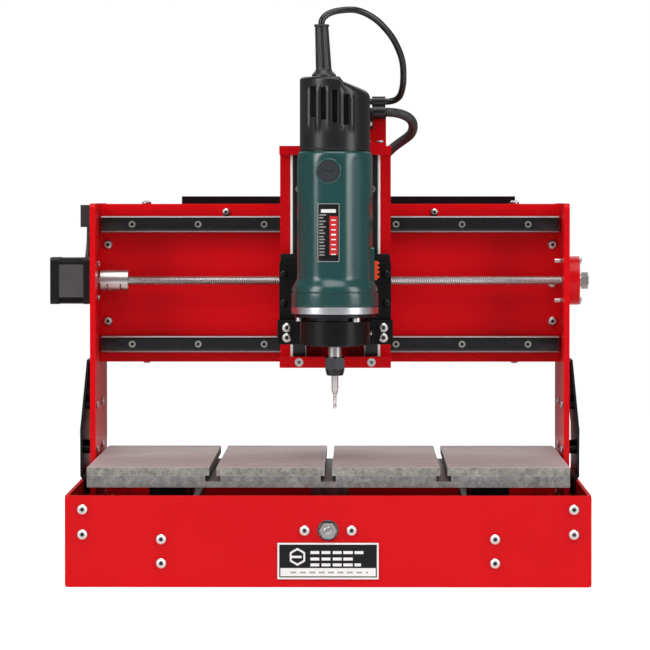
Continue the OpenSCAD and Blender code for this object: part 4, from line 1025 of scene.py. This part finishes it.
def collet_and_bit():
    """Collet nut with a hexagon, and the bit with its two flutes."""
    half_flats = 8.5

    def hexagon(a, r, z):
        turn = (a + math.pi / 6) % (math.pi / 3) - math.pi / 6
        flat = half_flats / math.cos(turn)
        return min(r, flat) if 178.5 < z < 190.2 else r
    nut = [(3.1, 174.0), (6.6, 174.0), (7.3, 174.5), (7.9, 176.5), (8.3, 178.2), (8.45, 178.8),
           (9.2, 179.4), (9.8, 180.2), (9.8, 188.6), (9.4, 189.4), (8.7, 190.1), (8.4, 190.5),
           (6.15, 190.5), (6.1, 182), (3.1, 181.5)]
    obj = mesh_object("collet_nut", *lathe(nut, 96, section=hexagon), "nut", sharp=30)
    round_edges(obj, 0.2, 2, 35)
    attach(obj, "spindle")
    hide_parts("collet_and_bit")

    tip, flute_end = 145, 157

    def flutes(a, r, z):
        if z > flute_end:
            return r
        twist = (z - tip) * 0.42
        return r * (0.62 + 0.38 * abs(math.cos(a - twist)) ** 0.7)
    rows = [(0.15, 145.0), (1.3, 145.05)] + [(1.6, 145.3 + 0.5 * i) for i in range(22)]
    rows += [(1.75, 156.6), (2.2, 158.4), (2.7, 160.3), (2.95, 161.4), (3.0, 161.8), (3.0, 185),
             (3.0, 199), (2.7, 199.5)]
    bit = mesh_object("milling_bit", *lathe(rows, 32, section=flutes, closed=False), "bit", sharp=50)
    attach(bit, "spindle")


# ---- Plates with plain marks ----

def marked_plate(name, w, h, place, marks, keys, cell=0.5, thick=0.3):
    """Thin plate whose front is a fine grid; marks(u, v) picks each cell's ink."""
    nu, nv = round(w / cell), round(h / cell)
    verts = [place((i / nu - 0.5) * w, (j / nv - 0.5) * h, thick) for j in range(nv + 1)
             for i in range(nu + 1)]
    faces, inks = [], []
    for j in range(nv):
        for i in range(nu):
            a = j * (nu + 1) + i
            faces.append((a, a + 1, a + nu + 2, a + nu + 1))
            inks.append(marks((i + 0.5) / nu * w - w / 2, (j + 0.5) / nv * h - h / 2))
    rim = list(range(nu + 1))
    rim += [j * (nu + 1) + nu for j in range(1, nv + 1)]
    rim += [nv * (nu + 1) + i for i in range(nu - 1, -1, -1)]
    rim += [j * (nu + 1) for j in range(nv - 1, 0, -1)]
    start = len(verts)
    for k in rim:
        j, i = divmod(k, nu + 1)
        verts.append(place((i / nu - 0.5) * w, (j / nv - 0.5) * h, 0))
    n = len(rim)
    for k in range(n):
        m = (k + 1) % n
        faces.append((rim[k], start + k, start + m, rim[m]))
        inks.append(0)
    faces.append(tuple(start + k for k in range(n)))
    inks.append(0)
    obj = mesh_object(name, verts, faces, *keys, smooth=False)
    for face, ink in zip(obj.data.polygons, inks):
        face.material_index = ink
    return obj


def label_marks(u, v):
    """0 black, 1 grey, 2 red, 3 light."""
    if abs(u) > 9.0 or abs(v) > 25.0:
        return 1
    if 1.0 < u < 8.0 and -19.5 < v < 14.5:
        bar = (v + 19.5) % 4.3
        return 3 if bar < 1.1 and 2.4 < u < 6.6 else 2
    if -8.0 < u < -1.0 and -20 < v < 17:
        bar = (v + 20) % 2.7
        length = 4.5 + 2.5 * math.sin(3.1 * math.floor((v + 20) / 2.7))
        return 1 if bar < 1.0 and u < -8 + length else 0
    if 17.5 < v < 20.5 and abs(u) < 6.5:
        return 3
    return 0


def rating_label():
    """Plate that follows the curve of the housing's front."""
    centre_z, bend_r = 300.6, 32.9

    def place(u, v, d):
        a = FACE_TURN - math.pi / 2 + u / bend_r
        r = housing_section(a, BODY_R, 298) + 0.02 + d
        return AXIS + Vector((r * math.cos(a), r * math.sin(a), centre_z + v)) * MM
    obj = marked_plate("rating_label", 19, 51.0, place, label_marks,
                       ("ink_black", "ink_grey", "ink_red", "ink_white"))
    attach(obj, "head")


def plate_marks(u, v):
    """0 black, 1 white, 2 grey: a border, a light strip below, an angular mark with bars above."""
    if 41.4 < abs(u) or 13.9 < abs(v):
        return 1
    if abs(u) > 40.6 or abs(v) > 13.1:
        return 0
    if v < -6.0:
        bar = (u + 40) % 8.0
        return 2 if -10.3 < v < -8.8 and bar < 5.2 and abs(u) < 34 else 1
    x, y = u + 26, v - 3.6
    hexagon = max(abs(x), abs(x) * 0.5 + abs(y) * 0.866)
    if hexagon < 6.6:
        return 1 if hexagon > 5.0 or (abs(y) < 1.1 and x < 3.4) else 0
    for top, left, right in ((8.4, -15, 32), (3.2, -15, 22), (-2.0, -15, 28)):
        if top - 2.6 < v < top and left < u < right:
            return 1 if (u + 15) % 9.4 < 7.6 else 0
    return 0


def name_plate():
    """Plain marks on the front panel's plate."""
    low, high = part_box("name_plate")

    def place(u, v, d):
        return Vector(((low.x + high.x) / 2 + u * MM, high.y - (high.y - low.y) * min(d, 1),
                       (low.z + high.z) / 2 + v * MM))
    obj = marked_plate("front_plate", (high.x - low.x) / MM, (high.z - low.z) / MM, place,
                       plate_marks, ("ink_black", "ink_white", "ink_grey"), 0.5, 1.0)
    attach(obj, "base")
    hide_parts("name_plate")


def build_pieces():
    motor_housing()
    brush_bezels()
    rating_label()
    rear_cap()
    cord_boot()
    spindle_cord()
    conduit()
    lead_screw("x_screw", "x_drive", 0)
    lead_screw("y_screw", "y_drive", 1)
    lead_screw("z_screw", "z_drive", 2)
    collet_and_bit()
    name_plate()




# ---- Stage ----

def area(name, place, target, size, power, height=None):
    data = bpy.data.lights.new(name, "AREA")
    data.energy = power
    data.size = size
    if height:
        data.shape = "RECTANGLE"
        data.size_y = height
    obj = bpy.data.objects.new(name, data)
    obj.location = place
    obj.rotation_euler = (Vector(target) - Vector(place)).to_track_quat("-Z", "Y").to_euler()
    obj.visible_camera = False
    bpy.context.scene.collection.objects.link(obj)
    return obj


def floor():
    """Round sheet of pale paper under the machine."""
    verts, faces, sides = [(0, 0, -0.0002)], [], 64
    for radius in (0.5, 1.2, 1.9):
        for k in range(sides):
            a = 2 * math.pi * k / sides
            verts.append((radius * math.cos(a), radius * math.sin(a), -0.0002))
    for k in range(sides):
        j = (k + 1) % sides
        faces.append((0, 1 + k, 1 + j))
        for ring in (0, 1):
            low, high = 1 + ring * sides, 1 + (ring + 1) * sides
            faces.append((low + k, high + k, high + j, low + j))
    mesh = bpy.data.meshes.new("floor")
    mesh.from_pydata(verts, [], faces)
    n = Net("studio_paper")
    fine = n.noise(40, 4)
    n.set(Base_Color=n.mix(fine, (0.88, 0.88, 0.88), (0.92, 0.92, 0.92)), Roughness=0.8,
          Emission_Color=(1, 1, 1))
    seen = n.add("ShaderNodeLightPath").outputs["Is Camera Ray"]
    n.put(n.bsdf.inputs["Emission Strength"], n.ramp(seen, 0.0, 0.55))
    n.bump(n.noise(300, 2), 0.03, 0.0002)
    mesh.materials.append(n.mat)
    obj = bpy.data.objects.new("floor", mesh)
    bpy.context.scene.collection.objects.link(obj)


def lights():
    """Two tall soft boxes at the sides, one overhead and one behind; dark room in front."""
    area("key_left", (-2.6, -1.9, 1.5), (0, 0, 0.25), 1.3, 62, height=2.4)
    area("key_right", (2.6, -1.9, 1.3), (0, 0, 0.25), 1.3, 52, height=2.4)
    area("top", (0, -0.9, 2.6), (0, 0, 0.1), 2.0, 44)
    area("back", (0, 1.6, 1.5), (0, 0.4, 0.2), 2.6, 12, height=1.2)
    world = bpy.data.worlds.new("studio")
    bpy.context.scene.world = world
    world.use_nodes = True
    tree = world.node_tree
    background = tree.nodes["Background"]
    path = tree.nodes.new("ShaderNodeLightPath")
    level = tree.nodes.new("ShaderNodeMapRange")
    tree.links.new(path.outputs["Is Camera Ray"], level.inputs["Value"])
    level.inputs["To Min"].default_value = 0.16
    level.inputs["To Max"].default_value = 1.0
    tree.links.new(level.outputs[0], background.inputs["Strength"])
    background.inputs["Color"].default_value = (1, 1, 1, 1)


def camera():
    """View from far in front at the height of the gantry, tipped down to the middle of the machine."""
    data = bpy.data.cameras.new("camera")
    data.lens = 215.5
    data.sensor_width = 36.0
    data.clip_end = 50
    obj = bpy.data.objects.new("camera", data)
    tip_down, turn_left = 1.884, 0.486
    obj.location = (0.0254, -3.510, 0.3318)
    obj.rotation_euler = (math.radians(90 - tip_down), 0, math.radians(turn_left))
    bpy.context.scene.collection.objects.link(obj)
    bpy.context.scene.camera = obj
    bpy.context.scene.view_settings.view_transform = "Standard"


make_materials()
paint_cad()
soften_cad()
build_pieces()
floor()
lights()
camera()
